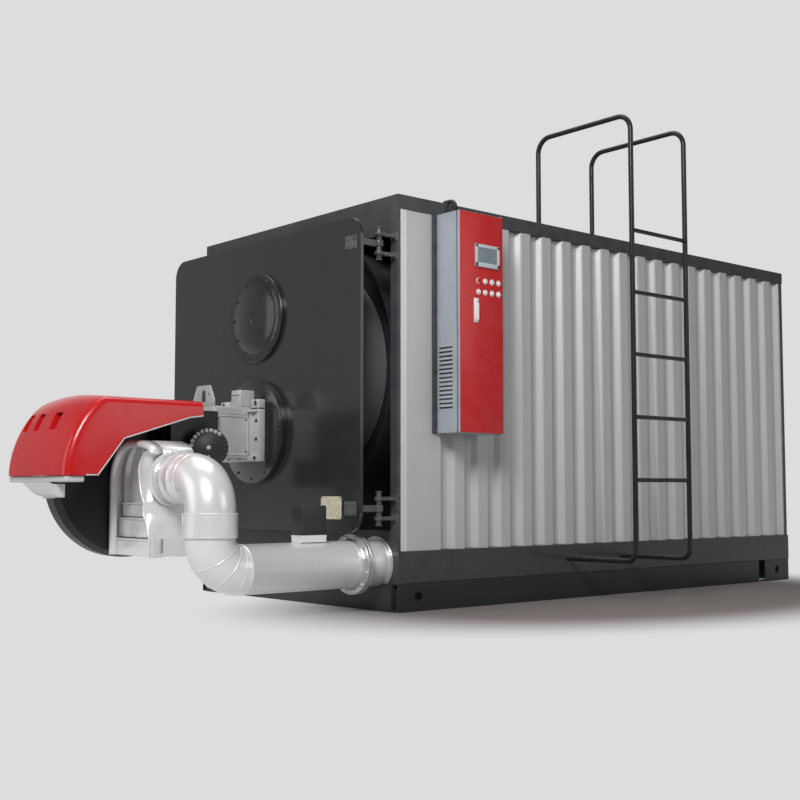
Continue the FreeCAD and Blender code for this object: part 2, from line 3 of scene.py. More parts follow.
import bmesh
import bpy
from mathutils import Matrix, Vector


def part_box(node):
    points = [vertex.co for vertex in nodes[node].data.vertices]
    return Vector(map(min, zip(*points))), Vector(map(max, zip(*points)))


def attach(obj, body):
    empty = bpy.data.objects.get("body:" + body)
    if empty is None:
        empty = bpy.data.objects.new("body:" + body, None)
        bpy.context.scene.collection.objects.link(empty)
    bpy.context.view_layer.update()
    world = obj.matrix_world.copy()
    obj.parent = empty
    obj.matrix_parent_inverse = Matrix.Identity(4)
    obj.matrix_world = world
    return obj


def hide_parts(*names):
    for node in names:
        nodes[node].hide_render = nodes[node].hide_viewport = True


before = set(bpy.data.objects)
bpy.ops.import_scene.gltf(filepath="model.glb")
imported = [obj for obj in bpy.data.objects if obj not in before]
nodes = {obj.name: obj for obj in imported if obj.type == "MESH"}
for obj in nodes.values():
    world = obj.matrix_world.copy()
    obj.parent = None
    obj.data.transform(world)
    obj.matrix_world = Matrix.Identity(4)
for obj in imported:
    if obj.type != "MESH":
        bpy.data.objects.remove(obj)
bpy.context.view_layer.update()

# places of the casing in metres; "ahead" is in front of it, towards -Y
half = 1.115
front = -2.175
skirtTop = 0.372
beamBottom = 2.51
burnerHeight = 1.137
doorFace = 0.28
scene = bpy.context.scene


def at(x, ahead, z):
    return Vector((x, front - ahead, z))


camera = {"place": (6.818, -7.104, 0.749), "turn": (94.21, 0.0, 49.07), "lens": 55.06,
          "sensor": 36, "reach": 300}
studio = {
    "sky": 0.723, "dim": 0.13, "left": 0.34,  # how bright the backdrop, the rest and the glow at the left are
    "view": (-0.755, 0.656, 0.0), "viewSpread": (0.62, 0.84), "leftWay": (-0.93, -0.36, 0.05),
    # the floor's centre, half sizes, fade and tint below set a painted shadow: a darker floor patch round the
    # boiler
    "leftSpread": (0.85, 0.995), "floorReach": 60.0, "shadowCentre": (1.15, -0.2), "shadowHalf": (2.1, 3.3),
    "shadowFade": (0.55, 1.0), "paintedShadowTint": (0.22, 0.195, 0.19, 1), "glowFrom": (6.8, -7.1, 0),
}
lamps = {
    "key": {"place": (6.5, -9.0, 7.0), "aim": (0.8, -1.0, 1.2), "size": 3.2, "power": 900},
    "top": {"place": (-1.0, -2.0, 9.0), "aim": (0, -1.0, 0), "size": 6.0, "power": 330},
    "side": {"place": (10.0, 2.5, 4.0), "aim": (1, 0.5, 1.2), "size": 5.0, "power": 130},
    "fill": {"place": (-3.0, -10.5, 3.0), "aim": (0, -3, 1.0), "size": 5.0, "power": 130},
}


def makeCamera():
    data = bpy.data.cameras.new("mainCamera")
    data.lens = camera["lens"]
    data.sensor_width = camera["sensor"]
    data.clip_end = camera["reach"]
    cam = bpy.data.objects.new("mainCamera", data)
    cam.location = camera["place"]
    cam.rotation_euler = [math.radians(a) for a in camera["turn"]]
    scene.collection.objects.link(cam)
    scene.camera = cam


def softStep(tree, value, spread):
    ramp = tree.nodes.new("ShaderNodeMapRange")
    ramp.interpolation_type = "SMOOTHSTEP"
    ramp.inputs["From Min"].default_value, ramp.inputs["From Max"].default_value = spread
    tree.links.new(value, ramp.inputs["Value"])
    return ramp.outputs["Result"]


def skyColour(tree, direction):
    # pale behind the boiler, dim elsewhere, with a soft glow to the left
    def toward(way, spread):
        dot = tree.nodes.new("ShaderNodeVectorMath")
        dot.operation = "DOT_PRODUCT"
        dot.inputs[1].default_value = Vector(way).normalized()
        tree.links.new(direction, dot.inputs[0])
        return softStep(tree, dot.outputs["Value"], spread)

    def shade(factor, first, value):
        mix = tree.nodes.new("ShaderNodeMix")
        mix.data_type = "RGBA"
        tree.links.new(factor, mix.inputs["Factor"])
        if isinstance(first, float):
            mix.inputs[6].default_value = (first, first, first, 1)
        else:
            tree.links.new(first, mix.inputs[6])
        mix.inputs[7].default_value = (value, value, value, 1)
        return mix.outputs[2]

    soft = shade(toward(studio["leftWay"], studio["leftSpread"]), studio["dim"], studio["left"])
    return shade(toward(studio["view"], studio["viewSpread"]), soft, studio["sky"])


def makeStudio():
    world = bpy.data.worlds.new("studioSky")
    scene.world = world
    world.use_nodes = True
    tree = world.node_tree
    ways = tree.nodes.new("ShaderNodeTexCoord")
    tree.links.new(skyColour(tree, ways.outputs["Generated"]), tree.nodes["Background"].inputs["Color"])
    for name, lamp in lamps.items():
        data = bpy.data.lights.new(name, "AREA")
        data.shape = "SQUARE"
        data.size = lamp["size"]
        data.energy = lamp["power"]
        light = bpy.data.objects.new(name, data)
        light.location = lamp["place"]
        away = Vector(lamp["aim"]) - Vector(lamp["place"])
        light.rotation_euler = away.to_track_quat("-Z", "Y").to_euler()
        scene.collection.objects.link(light)
    bpy.ops.mesh.primitive_circle_add(vertices=96, radius=studio["floorReach"], fill_type="NGON")
    floor = bpy.context.object
    floor.name = "studioFloor"
    floor.data.materials.append(makeFloorFinish())
    scene.view_settings.view_transform = "Standard"


def makeFloorFinish():
    # a dark matte patch round the boiler, painted shadow that also takes the real one; further out the floor
    # glows like the backdrop and melts into it
    mat = bpy.data.materials.new("paleFloor")
    mat.use_nodes = True
    tree = mat.node_tree
    tree.nodes.clear()
    link = tree.links.new

    def vector(operation, first, value=None):
        made = tree.nodes.new("ShaderNodeVectorMath")
        made.operation = operation
        link(first, made.inputs[0])
        if value:
            made.inputs[1].default_value = value
        return made.outputs["Value" if operation == "LENGTH" else "Vector"]

    out = tree.nodes.new("ShaderNodeOutputMaterial")
    shadowMatte = tree.nodes.new("ShaderNodeBsdfDiffuse")
    glow = tree.nodes.new("ShaderNodeEmission")
    mix = tree.nodes.new("ShaderNodeMixShader")
    spot = tree.nodes.new("ShaderNodeTexCoord").outputs["Object"]
    cx, cy = studio["shadowCentre"]
    hx, hy = studio["shadowHalf"]
    local = vector("SUBTRACT", spot, (cx, cy, 0))
    far = vector("LENGTH", vector("MULTIPLY", local, (1 / hx, 1 / hy, 0)))
    # dark tint of the patch round the boiler: painted shadow
    shadowMatte.inputs["Color"].default_value = studio["paintedShadowTint"]
    outward = vector("NORMALIZE", vector("SUBTRACT", spot, studio["glowFrom"]))
    link(skyColour(tree, outward), glow.inputs["Color"])
    link(softStep(tree, far, studio["shadowFade"]), mix.inputs["Fac"])
    link(shadowMatte.outputs[0], mix.inputs[1])
    link(glow.outputs[0], mix.inputs[2])
    link(mix.outputs[0], out.inputs["Surface"])
    return mat


plainLook = {
    "colour": (0.5, 0.5, 0.5), "shade": (0.4, 0.4, 0.4), "tone": 0.5, "toneScale": (1.3, 1.3, 1.3),
    "rough": 0.4, "roughVary": 0.1, "metal": 0.0, "shine": 0.4, "coat": 0.0, "coatRough": 0.08,
    "grain": 700.0, "grainDepth": 0.00003, "ripple": 3.0, "rippleDepth": 0.0,
    # the edge colour paints edge highlights with some wear; the top colour is dust, and on the hood a painted
    # sheen
    "edgeWearAndHighlight": 0.25, "edgeWearAndHighlightColour": (0.3, 0.3, 0.3), "topSheenAndDust": 0.1, "topSheenAndDustColour": (0.5, 0.48, 0.45),
    "patch": 9.0, "cornerSpan": (0.52, 0.6),
}


def makeFinish(name, **look):
    look = {**plainLook, **look}
    mat = bpy.data.materials.new(name)
    mat.use_nodes = True
    tree = mat.node_tree
    tree.nodes.clear()
    link = tree.links.new

    def add(kind, **values):
        made = tree.nodes.new("ShaderNode" + kind)
        for key, value in values.items():
            if hasattr(made, key):
                setattr(made, key, value)
            else:
                made.inputs[key].default_value = value
        return made

    def noise(scale, detail, vector):
        made = add("TexNoise", Scale=scale, Detail=detail, Roughness=0.55)
        link(vector, made.inputs["Vector"])
        return made.outputs["Fac"]

    def mixed(factor, first, second):
        made = add("Mix", data_type="RGBA")
        link(factor, made.inputs["Factor"])
        for value, socket in ((first, made.inputs[6]), (second, made.inputs[7])):
            if isinstance(value, tuple):
                socket.default_value = value + (1,)
            else:
                link(value, socket)
        return made.outputs[2]

    def ranged(value, low, high, to0, to1):
        made = add("MapRange")
        link(value, made.inputs["Value"])
        for key, number in (("From Min", low), ("From Max", high), ("To Min", to0), ("To Max", to1)):
            made.inputs[key].default_value = number
        return made.outputs["Result"]

    def times(first, second):
        made = add("Math", operation="MULTIPLY")
        link(first, made.inputs[0])
        link(second, made.inputs[1])
        return made.outputs["Value"]

    place = add("TexCoord").outputs["Object"]
    stretch = add("VectorMath", operation="MULTIPLY")
    link(place, stretch.inputs[0])
    stretch.inputs[1].default_value = look["toneScale"]
    tone = noise(1.0, 4.0, stretch.outputs["Vector"])
    patchy = noise(look["patch"], 5.0, place)
    grain = noise(look["grain"], 2.0, place)
    colour = mixed(ranged(tone, 0.3, 0.7, 0.0, look["tone"]), look["colour"], look["shade"])
    geometry = add("NewGeometry")
    # convex edges shift toward the edge colour, mostly lighter: painted edge highlights, with some wear
    edge = ranged(geometry.outputs["Pointiness"], *look["cornerSpan"], 0.0, look["edgeWearAndHighlight"])
    edge = times(edge, ranged(patchy, 0.35, 0.65, 0.2, 1.0))
    colour = mixed(edge, colour, look["edgeWearAndHighlightColour"])
    # upward faces shift toward the top colour: dust on most finishes, a painted sheen on the red hood
    split = add("SeparateXYZ")
    link(geometry.outputs["Normal"], split.inputs[0])
    topSheenAndDust = times(ranged(split.outputs["Z"], 0.3, 1.0, 0.0, look["topSheenAndDust"]), ranged(patchy, 0.3, 0.7, 0.3, 1.0))
    colour = mixed(topSheenAndDust, colour, look["topSheenAndDustColour"])
    low = look["rough"] - look["roughVary"] / 2
    rough = ranged(patchy, 0.3, 0.7, low, low + look["roughVary"])
    bump = add("Bump", Strength=1.0, Distance=look["grainDepth"])
    link(grain, bump.inputs["Height"])
    normal = bump.outputs["Normal"]
    if look["rippleDepth"] > 0:
        sway = add("Bump", Strength=1.0, Distance=look["rippleDepth"])
        link(noise(look["ripple"], 2.0, place), sway.inputs["Height"])
        link(normal, sway.inputs["Normal"])
        normal = sway.outputs["Normal"]
    skin = add("BsdfPrincipled")
    skin.inputs["Metallic"].default_value = look["metal"]
    skin.inputs["Specular IOR Level"].default_value = look["shine"]
    skin.inputs["Coat Weight"].default_value = look["coat"]
    skin.inputs["Coat Roughness"].default_value = look["coatRough"]
    link(colour, skin.inputs["Base Color"])
    link(rough, skin.inputs["Roughness"])
    link(normal, skin.inputs["Normal"])
    link(skin.outputs["BSDF"], add("OutputMaterial").inputs["Surface"])
    return mat


finishLooks = {
    "framePaint": dict(colour=(0.04, 0.044, 0.049), shade=(0.03, 0.033, 0.038), rough=0.38, coat=0.15,
        coatRough=0.2, edgeWearAndHighlightColour=(0.16, 0.165, 0.17), rippleDepth=0.0008, shine=0.3),
    "basePaint": dict(colour=(0.022, 0.025, 0.028), shade=(0.016, 0.018, 0.021), rough=0.36, coat=0.12,
        coatRough=0.15, edgeWearAndHighlightColour=(0.14, 0.14, 0.15), rippleDepth=0.0006, shine=0.25),
    "panelSheet": dict(colour=(0.5, 0.505, 0.51), shade=(0.43, 0.435, 0.44), tone=0.6,
        toneScale=(5.0, 5.0, 0.35), rough=0.4, metal=0.2, grain=260.0, edgeWearAndHighlight=0.15, grainDepth=2e-05,
        edgeWearAndHighlightColour=(0.7, 0.7, 0.7), rippleDepth=0.001, topSheenAndDust=0.2),
    # lighter grey for the strips at the side panels' front ends: a painted highlight
    "highlightStripPaint": dict(colour=(0.66, 0.665, 0.67), shade=(0.56, 0.565, 0.57), rough=0.36, metal=0.25,
        toneScale=(3.0, 3.0, 0.5), edgeWearAndHighlightColour=(0.8, 0.8, 0.8)),
    "vesselBlack": dict(colour=(0.012, 0.013, 0.014), shade=(0.02, 0.02, 0.021), rough=0.45,
        edgeWearAndHighlightColour=(0.08, 0.075, 0.07), grain=300.0, grainDepth=0.0001),
    "hingeGrey": dict(colour=(0.055, 0.06, 0.066), shade=(0.05, 0.054, 0.06), rough=0.4, coat=0.2,
        edgeWearAndHighlightColour=(0.2, 0.2, 0.2), edgeWearAndHighlight=0.4, shine=0.3),
    "doorGloss": dict(colour=(0.022, 0.024, 0.026), shade=(0.017, 0.019, 0.022), rough=0.2,
        roughVary=0.06, coat=0.35, coatRough=0.1, edgeWearAndHighlightColour=(0.2, 0.2, 0.21), rippleDepth=0.0012,
        ripple=1.6, topSheenAndDust=0.05, shine=0.45, edgeWearAndHighlight=0.12),
    "liningGrey": dict(colour=(0.26, 0.275, 0.29), shade=(0.2, 0.21, 0.225), rough=0.5,
        edgeWearAndHighlightColour=(0.1, 0.09, 0.08), grain=200.0, grainDepth=0.0003, shine=0.25),
    "coverBlack": dict(colour=(0.01, 0.011, 0.012), shade=(0.016, 0.017, 0.018), rough=0.3, coat=0.3,
        edgeWearAndHighlightColour=(0.09, 0.09, 0.09)),
    "creamPlate": dict(colour=(0.78, 0.74, 0.58), shade=(0.42, 0.37, 0.24), tone=0.9,
        toneScale=(45.0, 45.0, 45.0), rough=0.4, metal=0.2, grain=400.0, edgeWearAndHighlightColour=(0.9, 0.88, 0.8)),
    "castAlloy": dict(colour=(0.52, 0.53, 0.54), shade=(0.42, 0.43, 0.44), rough=0.42, metal=0.3,
        grain=500.0, grainDepth=0.00012, toneScale=(6.0, 6.0, 6.0), edgeWearAndHighlightColour=(0.62, 0.62, 0.62),
        edgeWearAndHighlight=0.5),
    "zincPlate": dict(colour=(0.62, 0.63, 0.64), shade=(0.45, 0.46, 0.46), rough=0.32, metal=0.6,
        toneScale=(20.0, 20.0, 20.0), edgeWearAndHighlightColour=(0.8, 0.8, 0.8)),
    "tubeSteel": dict(colour=(0.28, 0.25, 0.22), shade=(0.16, 0.15, 0.19), tone=0.9, rough=0.35,
        metal=0.9, toneScale=(4.0, 9.0, 4.0)),
    # the hood's pale pink on upward faces is a painted sheen
    "hoodRed": dict(colour=(0.5, 0.01, 0.012), shade=(0.44, 0.007, 0.009), rough=0.26, roughVary=0.06,
        coat=0.3, coatRough=0.1, edgeWearAndHighlightColour=(0.8, 0.3, 0.28), edgeWearAndHighlight=0.0, topSheenAndDust=0.03,
        topSheenAndDustColour=(0.8, 0.35, 0.35), grainDepth=2e-05, rippleDepth=0.0008, shine=0.35),
    # darker red for the hood's slot walls: painted shade in the recesses
    "slotShadeRed": dict(colour=(0.3, 0.006, 0.008), shade=(0.22, 0.004, 0.005), rough=0.5, shine=0.15),
    "trayGrey": dict(colour=(0.52, 0.53, 0.53), shade=(0.43, 0.44, 0.44), rough=0.45, grain=900.0,
        grainDepth=6e-05, edgeWearAndHighlightColour=(0.75, 0.75, 0.75)),
    "burnerBlack": dict(colour=(0.014, 0.016, 0.018), shade=(0.022, 0.025, 0.028), rough=0.34, coat=0.1,
        edgeWearAndHighlightColour=(0.1, 0.1, 0.1), rippleDepth=0.0006, shine=0.3),
    "fanBlack": dict(colour=(0.01, 0.012, 0.015), shade=(0.016, 0.019, 0.022), shine=0.3, rough=0.38,
        edgeWearAndHighlight=0.1, edgeWearAndHighlightColour=(0.06, 0.06, 0.06), toneScale=(4.0, 4.0, 4.0)),
    "fanBand": dict(colour=(0.5, 0.51, 0.52), shade=(0.4, 0.41, 0.42), rough=0.4, metal=0.2,
        edgeWearAndHighlightColour=(0.7, 0.7, 0.7), toneScale=(7.0, 7.0, 7.0)),
    "ductSilver": dict(colour=(0.74, 0.745, 0.75), shade=(0.66, 0.665, 0.67), rough=0.3, roughVary=0.08,
        metal=0.3, coat=0.4, coatRough=0.12, toneScale=(3.0, 3.0, 3.0), edgeWearAndHighlightColour=(0.85, 0.85, 0.85),
        grainDepth=2e-05, rippleDepth=0.0006, ripple=5.0, tone=0.35, edgeWearAndHighlight=0.0, topSheenAndDust=0.0),
    "flangeSteel": dict(colour=(0.5, 0.505, 0.51), shade=(0.34, 0.35, 0.35), rough=0.34, metal=0.6,
        toneScale=(14.0, 14.0, 14.0), edgeWearAndHighlightColour=(0.8, 0.8, 0.8), edgeWearAndHighlight=0.5),
    # black for cast parts and bolts, also filling the burner head's ear holes and the gap behind its flange as
    # painted shade
    "castBlackAndShadowFill": dict(colour=(0.016, 0.018, 0.02), shade=(0.026, 0.028, 0.03), rough=0.42, grain=600.0,
        grainDepth=0.0001, edgeWearAndHighlightColour=(0.08, 0.08, 0.08)),
    "boltBright": dict(colour=(0.72, 0.72, 0.71), shade=(0.5, 0.5, 0.5), rough=0.3, metal=0.7,
        toneScale=(60.0, 60.0, 60.0), edgeWearAndHighlightColour=(0.85, 0.85, 0.85)),
    "boltDark": dict(colour=(0.05, 0.052, 0.055), shade=(0.03, 0.03, 0.032), rough=0.36, metal=0.5,
        toneScale=(60.0, 60.0, 60.0), edgeWearAndHighlightColour=(0.2, 0.2, 0.2)),
    "mouldedBlack": dict(colour=(0.02, 0.024, 0.027), shade=(0.015, 0.018, 0.02), rough=0.45,
        grain=1200.0, grainDepth=4e-05, edgeWearAndHighlightColour=(0.09, 0.09, 0.09)),
    "whitePaint": dict(colour=(0.8, 0.8, 0.79), shade=(0.68, 0.68, 0.68), rough=0.35, coat=0.3,
        toneScale=(12.0, 12.0, 12.0), edgeWearAndHighlightColour=(0.6, 0.6, 0.6)),
    "cabinetSilver": dict(colour=(0.38, 0.42, 0.47), shade=(0.33, 0.36, 0.4), rough=0.35, metal=0.25,
        coat=0.3, coatRough=0.2, grain=1500.0, edgeWearAndHighlightColour=(0.7, 0.72, 0.75), edgeWearAndHighlight=0.15),
    "cabinetRed": dict(colour=(0.5, 0.016, 0.018), shade=(0.46, 0.012, 0.014), rough=0.36, coat=0.2,
        coatRough=0.18, grain=1500.0, edgeWearAndHighlightColour=(0.8, 0.3, 0.28), edgeWearAndHighlight=0.12, shine=0.25, topSheenAndDust=0.03),
    "screenFrame": dict(colour=(0.5, 0.53, 0.55), shade=(0.42, 0.45, 0.47), rough=0.35, grain=1500.0,
        edgeWearAndHighlightColour=(0.8, 0.8, 0.8)),
    "screenGlass": dict(colour=(0.16, 0.22, 0.24), shade=(0.22, 0.28, 0.29), tone=0.9,
        toneScale=(9.0, 9.0, 16.0), rough=0.12, roughVary=0.03, coat=1.0, coatRough=0.04),
    # black for rubber, also the strips under the cabinet's louvres, painted shade in their gaps
    "blackRubberAndShadowFill": dict(colour=(0.012, 0.012, 0.013), shade=(0.02, 0.02, 0.02), rough=0.6),
    "ladderBlack": dict(colour=(0.012, 0.014, 0.015), shade=(0.02, 0.022, 0.024), rough=0.32, coat=0.12,
        edgeWearAndHighlightColour=(0.05, 0.05, 0.05), toneScale=(8.0, 8.0, 8.0), shine=0.25),
    "roofGrey": dict(colour=(0.07, 0.075, 0.08), shade=(0.05, 0.054, 0.06), rough=0.45,
        edgeWearAndHighlightColour=(0.16, 0.16, 0.16), topSheenAndDust=0.35, rippleDepth=0.002, ripple=1.2),
    "greyPaint": dict(colour=(0.045, 0.048, 0.054), shade=(0.035, 0.038, 0.042), rough=0.4),
}


def addBlock(bm, low, high, bevel=0.0, steps=2, tint=0):
    made = bmesh.ops.create_cube(bm, size=1.0)["verts"]
    low, high = Vector(low), Vector(high)
    for vert in made:
        vert.co = Vector([(low[i] + high[i]) / 2 + vert.co[i] * (high[i] - low[i]) for i in range(3)])
    finishPart(bm, made, bevel, steps, tint)


def addSlab(bm, across, ahead, up, bevel=0.0, steps=2, tint=0):
    addBlock(bm, at(across[0], ahead[0], up[0]), at(across[1], ahead[1], up[1]), bevel, steps, tint)


sharpFold = 0.5  # radians; smaller folds are left unrounded


def finishPart(bm, made, bevel, steps, tint):
    faces = {face for vert in made for face in vert.link_faces}
    for face in faces:
        face.material_index = tint
    if bevel > 0:
        # kept in the order found, so that every run cuts the same corners
        edges = list(dict.fromkeys(edge for vert in made for edge in vert.link_edges
                                   if edge.calc_face_angle(0) > sharpFold))
        bmesh.ops.bevel(bm, geom=edges, offset=bevel, segments=steps, profile=0.5, affect="EDGES",
                        clamp_overlap=True, material=-1)


def frameOf(direction):
    direction = Vector(direction).normalized()
    helper = Vector((0, 0, 1)) if abs(direction.z) < 0.9 else Vector((1, 0, 0))
    side = direction.cross(helper).normalized()
    return side, side.cross(direction).normalized()


def addLathe(bm, origin, direction, profile, sides=48, tint=0):
    # profile is (radius, along) from one end to the other; radius 0 closes it
    origin, direction = Vector(origin), Vector(direction).normalized()
    side, up = frameOf(direction)
    rings = []
    for radius, along in profile:
        centre = origin + direction * along
        if radius < 1e-7:
            rings.append([bm.verts.new(centre)])
            continue
        ring = []
        for k in range(sides):
            turn = math.radians(360.0 * k / sides)
            ring.append(bm.verts.new(centre + side * radius * math.cos(turn) + up * radius * math.sin(turn)))
        rings.append(ring)
    for a, b in zip(rings, rings[1:]):
        for k in range(sides):
            n = (k + 1) % sides
            if len(a) == 1:
                corners = [a[0], b[k], b[n]]
            elif len(b) == 1:
                corners = [a[k], b[0], a[n]]
            else:
                corners = [a[k], b[k], b[n], a[n]]
            bm.faces.new(corners).material_index = tint


def addRod(bm, start, end, radius, sides=24, edge=0.0, tint=0):
    start, end = Vector(start), Vector(end)
    run = end - start
    length = run.length
    profile = [(0, 0), (radius - edge, 0), (radius, edge), (radius, length - edge), (radius - edge, length),
               (0, length)]
    if edge == 0:
        profile = [(0, 0), (radius, 0), (radius, length), (0, length)]
    addLathe(bm, start, run, profile, sides, tint)


def addSweep(bm, points, radius, sides=16):
    points = [Vector(p) for p in points]
    side, up = frameOf(points[1] - points[0])
    rings = []
    previous = (points[1] - points[0]).normalized()
    for i, point in enumerate(points):
        ahead = points[min(i + 1, len(points) - 1)] - points[max(i - 1, 0)]
        ahead.normalize()
        turn = previous.rotation_difference(ahead)
        side, up, previous = turn @ side, turn @ up, ahead
        size = radius[i] if isinstance(radius, (list, tuple)) else radius
        rings.append([bm.verts.new(point + (side * math.cos(a) + up * math.sin(a)) * size)
                      for a in (2 * math.pi * k / sides for k in range(sides))])
    for a, b in zip(rings, rings[1:]):
        for k in range(sides):
            n = (k + 1) % sides
            bm.faces.new([a[k], a[n], b[n], b[k]])
    bm.faces.new(rings[0])
    bm.faces.new(list(reversed(rings[-1])))


def addPrism(bm, outline, run, bevel=0.0, steps=2, tint=0):
    run = Vector(run)
    first = [bm.verts.new(Vector(p)) for p in outline]
    second = [bm.verts.new(Vector(p) + run) for p in outline]
    bm.faces.new(first)
    bm.faces.new(list(reversed(second)))
    for k in range(len(outline)):
        n = (k + 1) % len(outline)
        bm.faces.new([first[n], first[k], second[k], second[n]])
    finishPart(bm, first + second, bevel, steps, tint)


def addBolt(bm, spot, direction, size=0.016, tint=0, washer=True):
    # a hexagon head on a washer
    if washer:
        addLathe(bm, spot, direction,
                 [(size * 0.95, -0.001), (size * 0.95, size * 0.12), (size * 0.85, size * 0.18),
                                       (0, size * 0.18)], 16, tint)
    head = size * 0.62
    addLathe(bm, spot, direction,
             [(head, 0), (head, size * 0.55), (head * 0.85, size * 0.68), (0, size * 0.68)], 6, tint)


def addBoltRing(bm, centre, radius, count, start, direction, size, tint):
    for k in range(count):
        a = 2 * math.pi * (k + start) / count
        addBolt(bm, at(centre[0] + math.cos(a) * radius, centre[1], centre[2] + math.sin(a) * radius),
                direction,
                size, tint)


def newPiece(name, bm, finishNames, body, stands=(), angle=35):
    bmesh.ops.recalc_face_normals(bm, faces=bm.faces[:])
    mesh = bpy.data.meshes.new(name)
    bm.to_mesh(mesh)
    bm.free()
    for finishName in finishNames:
        mesh.materials.append(finishes[finishName])
    mesh.shade_smooth()
    mesh.set_sharp_from_angle(angle=math.radians(angle))
    piece = bpy.data.objects.new(name, mesh)
    scene.collection.objects.link(piece)
    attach(piece, body)
    if stands:
        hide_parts(*stands)
    return piece


def meshFrom(bm):
    bmesh.ops.recalc_face_normals(bm, faces=bm.faces[:])
    mesh = bpy.data.meshes.new("cutter")
    bm.to_mesh(mesh)
    bm.free()
    obj = bpy.data.objects.new("cutter", mesh)
    scene.collection.objects.link(obj)
    return obj


def carve(target, cutter, tint=None):
    # takes the cutter's space out of the target's mesh, then drops the cutter
    if tint is not None:
        for polygon in cutter.data.polygons:
            polygon.material_index = tint
    step = target.modifiers.new("carve", "BOOLEAN")
    step.object = cutter
    step.operation = "DIFFERENCE"
    step.solver = "EXACT"
    graph = bpy.context.evaluated_depsgraph_get()
    graph.update()
    result = bpy.data.meshes.new_from_object(target.evaluated_get(graph))
    old = target.data
    materials = list(old.materials)
    target.modifiers.clear()
    target.data = result
    result.materials.clear()
    for mat in materials:
        result.materials.append(mat)
    bpy.data.meshes.remove(old)
    bpy.data.objects.remove(cutter)


def carry(finishName, slotName, bevel, *names):
    # a CAD node that keeps its own mesh and gets a finish and softened edges
    for name in names:
        node = nodes[name]
        node.data.materials.clear()
        node.data.materials.append(finishes[finishName])
        if bevel > 0:
            weld = node.modifiers.new("join", "WELD")
            weld.merge_threshold = 0.00005
            soft = node.modifiers.new("softEdges", "BEVEL")
            soft.width = bevel
            soft.segments = 2
            soft.limit_method = "ANGLE"
            soft.angle_limit = math.radians(28)
            soft.harden_normals = False


def dressCasing():
    carry("basePaint", "frame_paint", 0.003, "base_side_rails", "base_cross_members")
    carry("framePaint", "frame_paint", 0.002, "skirts", "top_beams", "front_header", "front_lower_panel",
          "cabinet_frame")
    carry("greyPaint", "frame_paint", 0.002, "corner_posts")
    carry("roofGrey", "frame_paint", 0.003, "roof_panel")
    carry("panelSheet", "panel_grey", 0.006, "side_panel_right", "side_panel_left", "rear_panel")
    carry("vesselBlack", "vessel_steel", 0.0, "vessel_shell", "tube_plate", "furnace_tube", "vessel_end_plate",
          "vessel_saddles")
    carry("hingeGrey", "hinge_steel", 0.002, "door_hinge_lugs", "door_hinge_arms")
    carry("doorGloss", "door_paint", 0.002, "door_plate")
    carry("liningGrey", "lining_steel", 0.0, "door_lining")
    carry("tubeSteel", "blast_steel", 0.0, "blast_tube")
    carry("burnerBlack", "burner_black", 0.012, "burner_body")
    carry("ladderBlack", "ladder_black", 0.0, "ladder_rail_front", "ladder_rail_rear", "ladder_rungs")


highlightStripSizes = {"dark": 0.026, "width": 0.05, "thick": 0.002}


def makeHighlightStrips():
    # brighter strips near the front ends of the side panels, a painted highlight for their lit front flange,
    # the post's dark edge ahead of them
    bm = bmesh.new()
    face = half - 0.006
    for sign in (1, -1):
        x0, x1 = sorted((sign * (face - 0.0005), sign * (face + highlightStripSizes["thick"])))
        y0 = front + highlightStripSizes["dark"]
        addBlock(bm, (x0, front + 0.0005, skirtTop + 0.001), (x1, y0, beamBottom - 0.001), 0.0006, 1, 1)
        addBlock(bm, (x0, y0, skirtTop + 0.001), (x1, y0 + highlightStripSizes["width"], beamBottom - 0.001), 0.0006, 1)
    newPiece("highlightStrips", bm, ["highlightStripPaint", "framePaint"], "casing")


ladderDetail = {"ys": (1.554, 2.145), "top": 2.59, "rung": 0.816, "pitch": 0.419, "count": 5,
                "foot": (0.3, 0.18), "footHalf": 0.055, "footThick": 0.008, "out": 0.6}


def makeLadderDetail():
    d = ladderDetail
    bm = bmesh.new()
    seat = d["top"] + d["footThick"]
    for y in d["ys"]:
        yy = front + y
        # roof foot with four bolts
        addBlock(bm, (half - d["foot"][0], yy - d["footHalf"], d["top"]),
                 (half - d["foot"][1], yy + d["footHalf"], seat),
                 0.002, 1)
        for dx in (-0.284, -0.196):
            for dy in (-0.038, 0.038):
                addBolt(bm, (half + dx, yy + dy, seat), (0, 0, 1), 0.012)
        addLathe(bm, (half - 0.24, yy, seat), (0, 0, 1), [(0.026, 0), (0.0185, 0.008), (0.0176, 0.012)], 20)
        # weld collars at the ends of the rungs
        way = 1 if y == d["ys"][0] else -1
        for k in range(d["count"]):
            z = d["rung"] + k * d["pitch"]
            addLathe(bm, (half + d["out"], yy + way * 0.0165, z), (0, way, 0),
                     [(0.0173, -0.004), (0.0173, 0.003), (0.0142, 0.008)], 16)
    newPiece("ladderFittings", bm, ["ladderBlack"], "casing")


hingeDetail = {"heights": (0.637, 2.269), "x": 1.087, "ahead": 0.130}


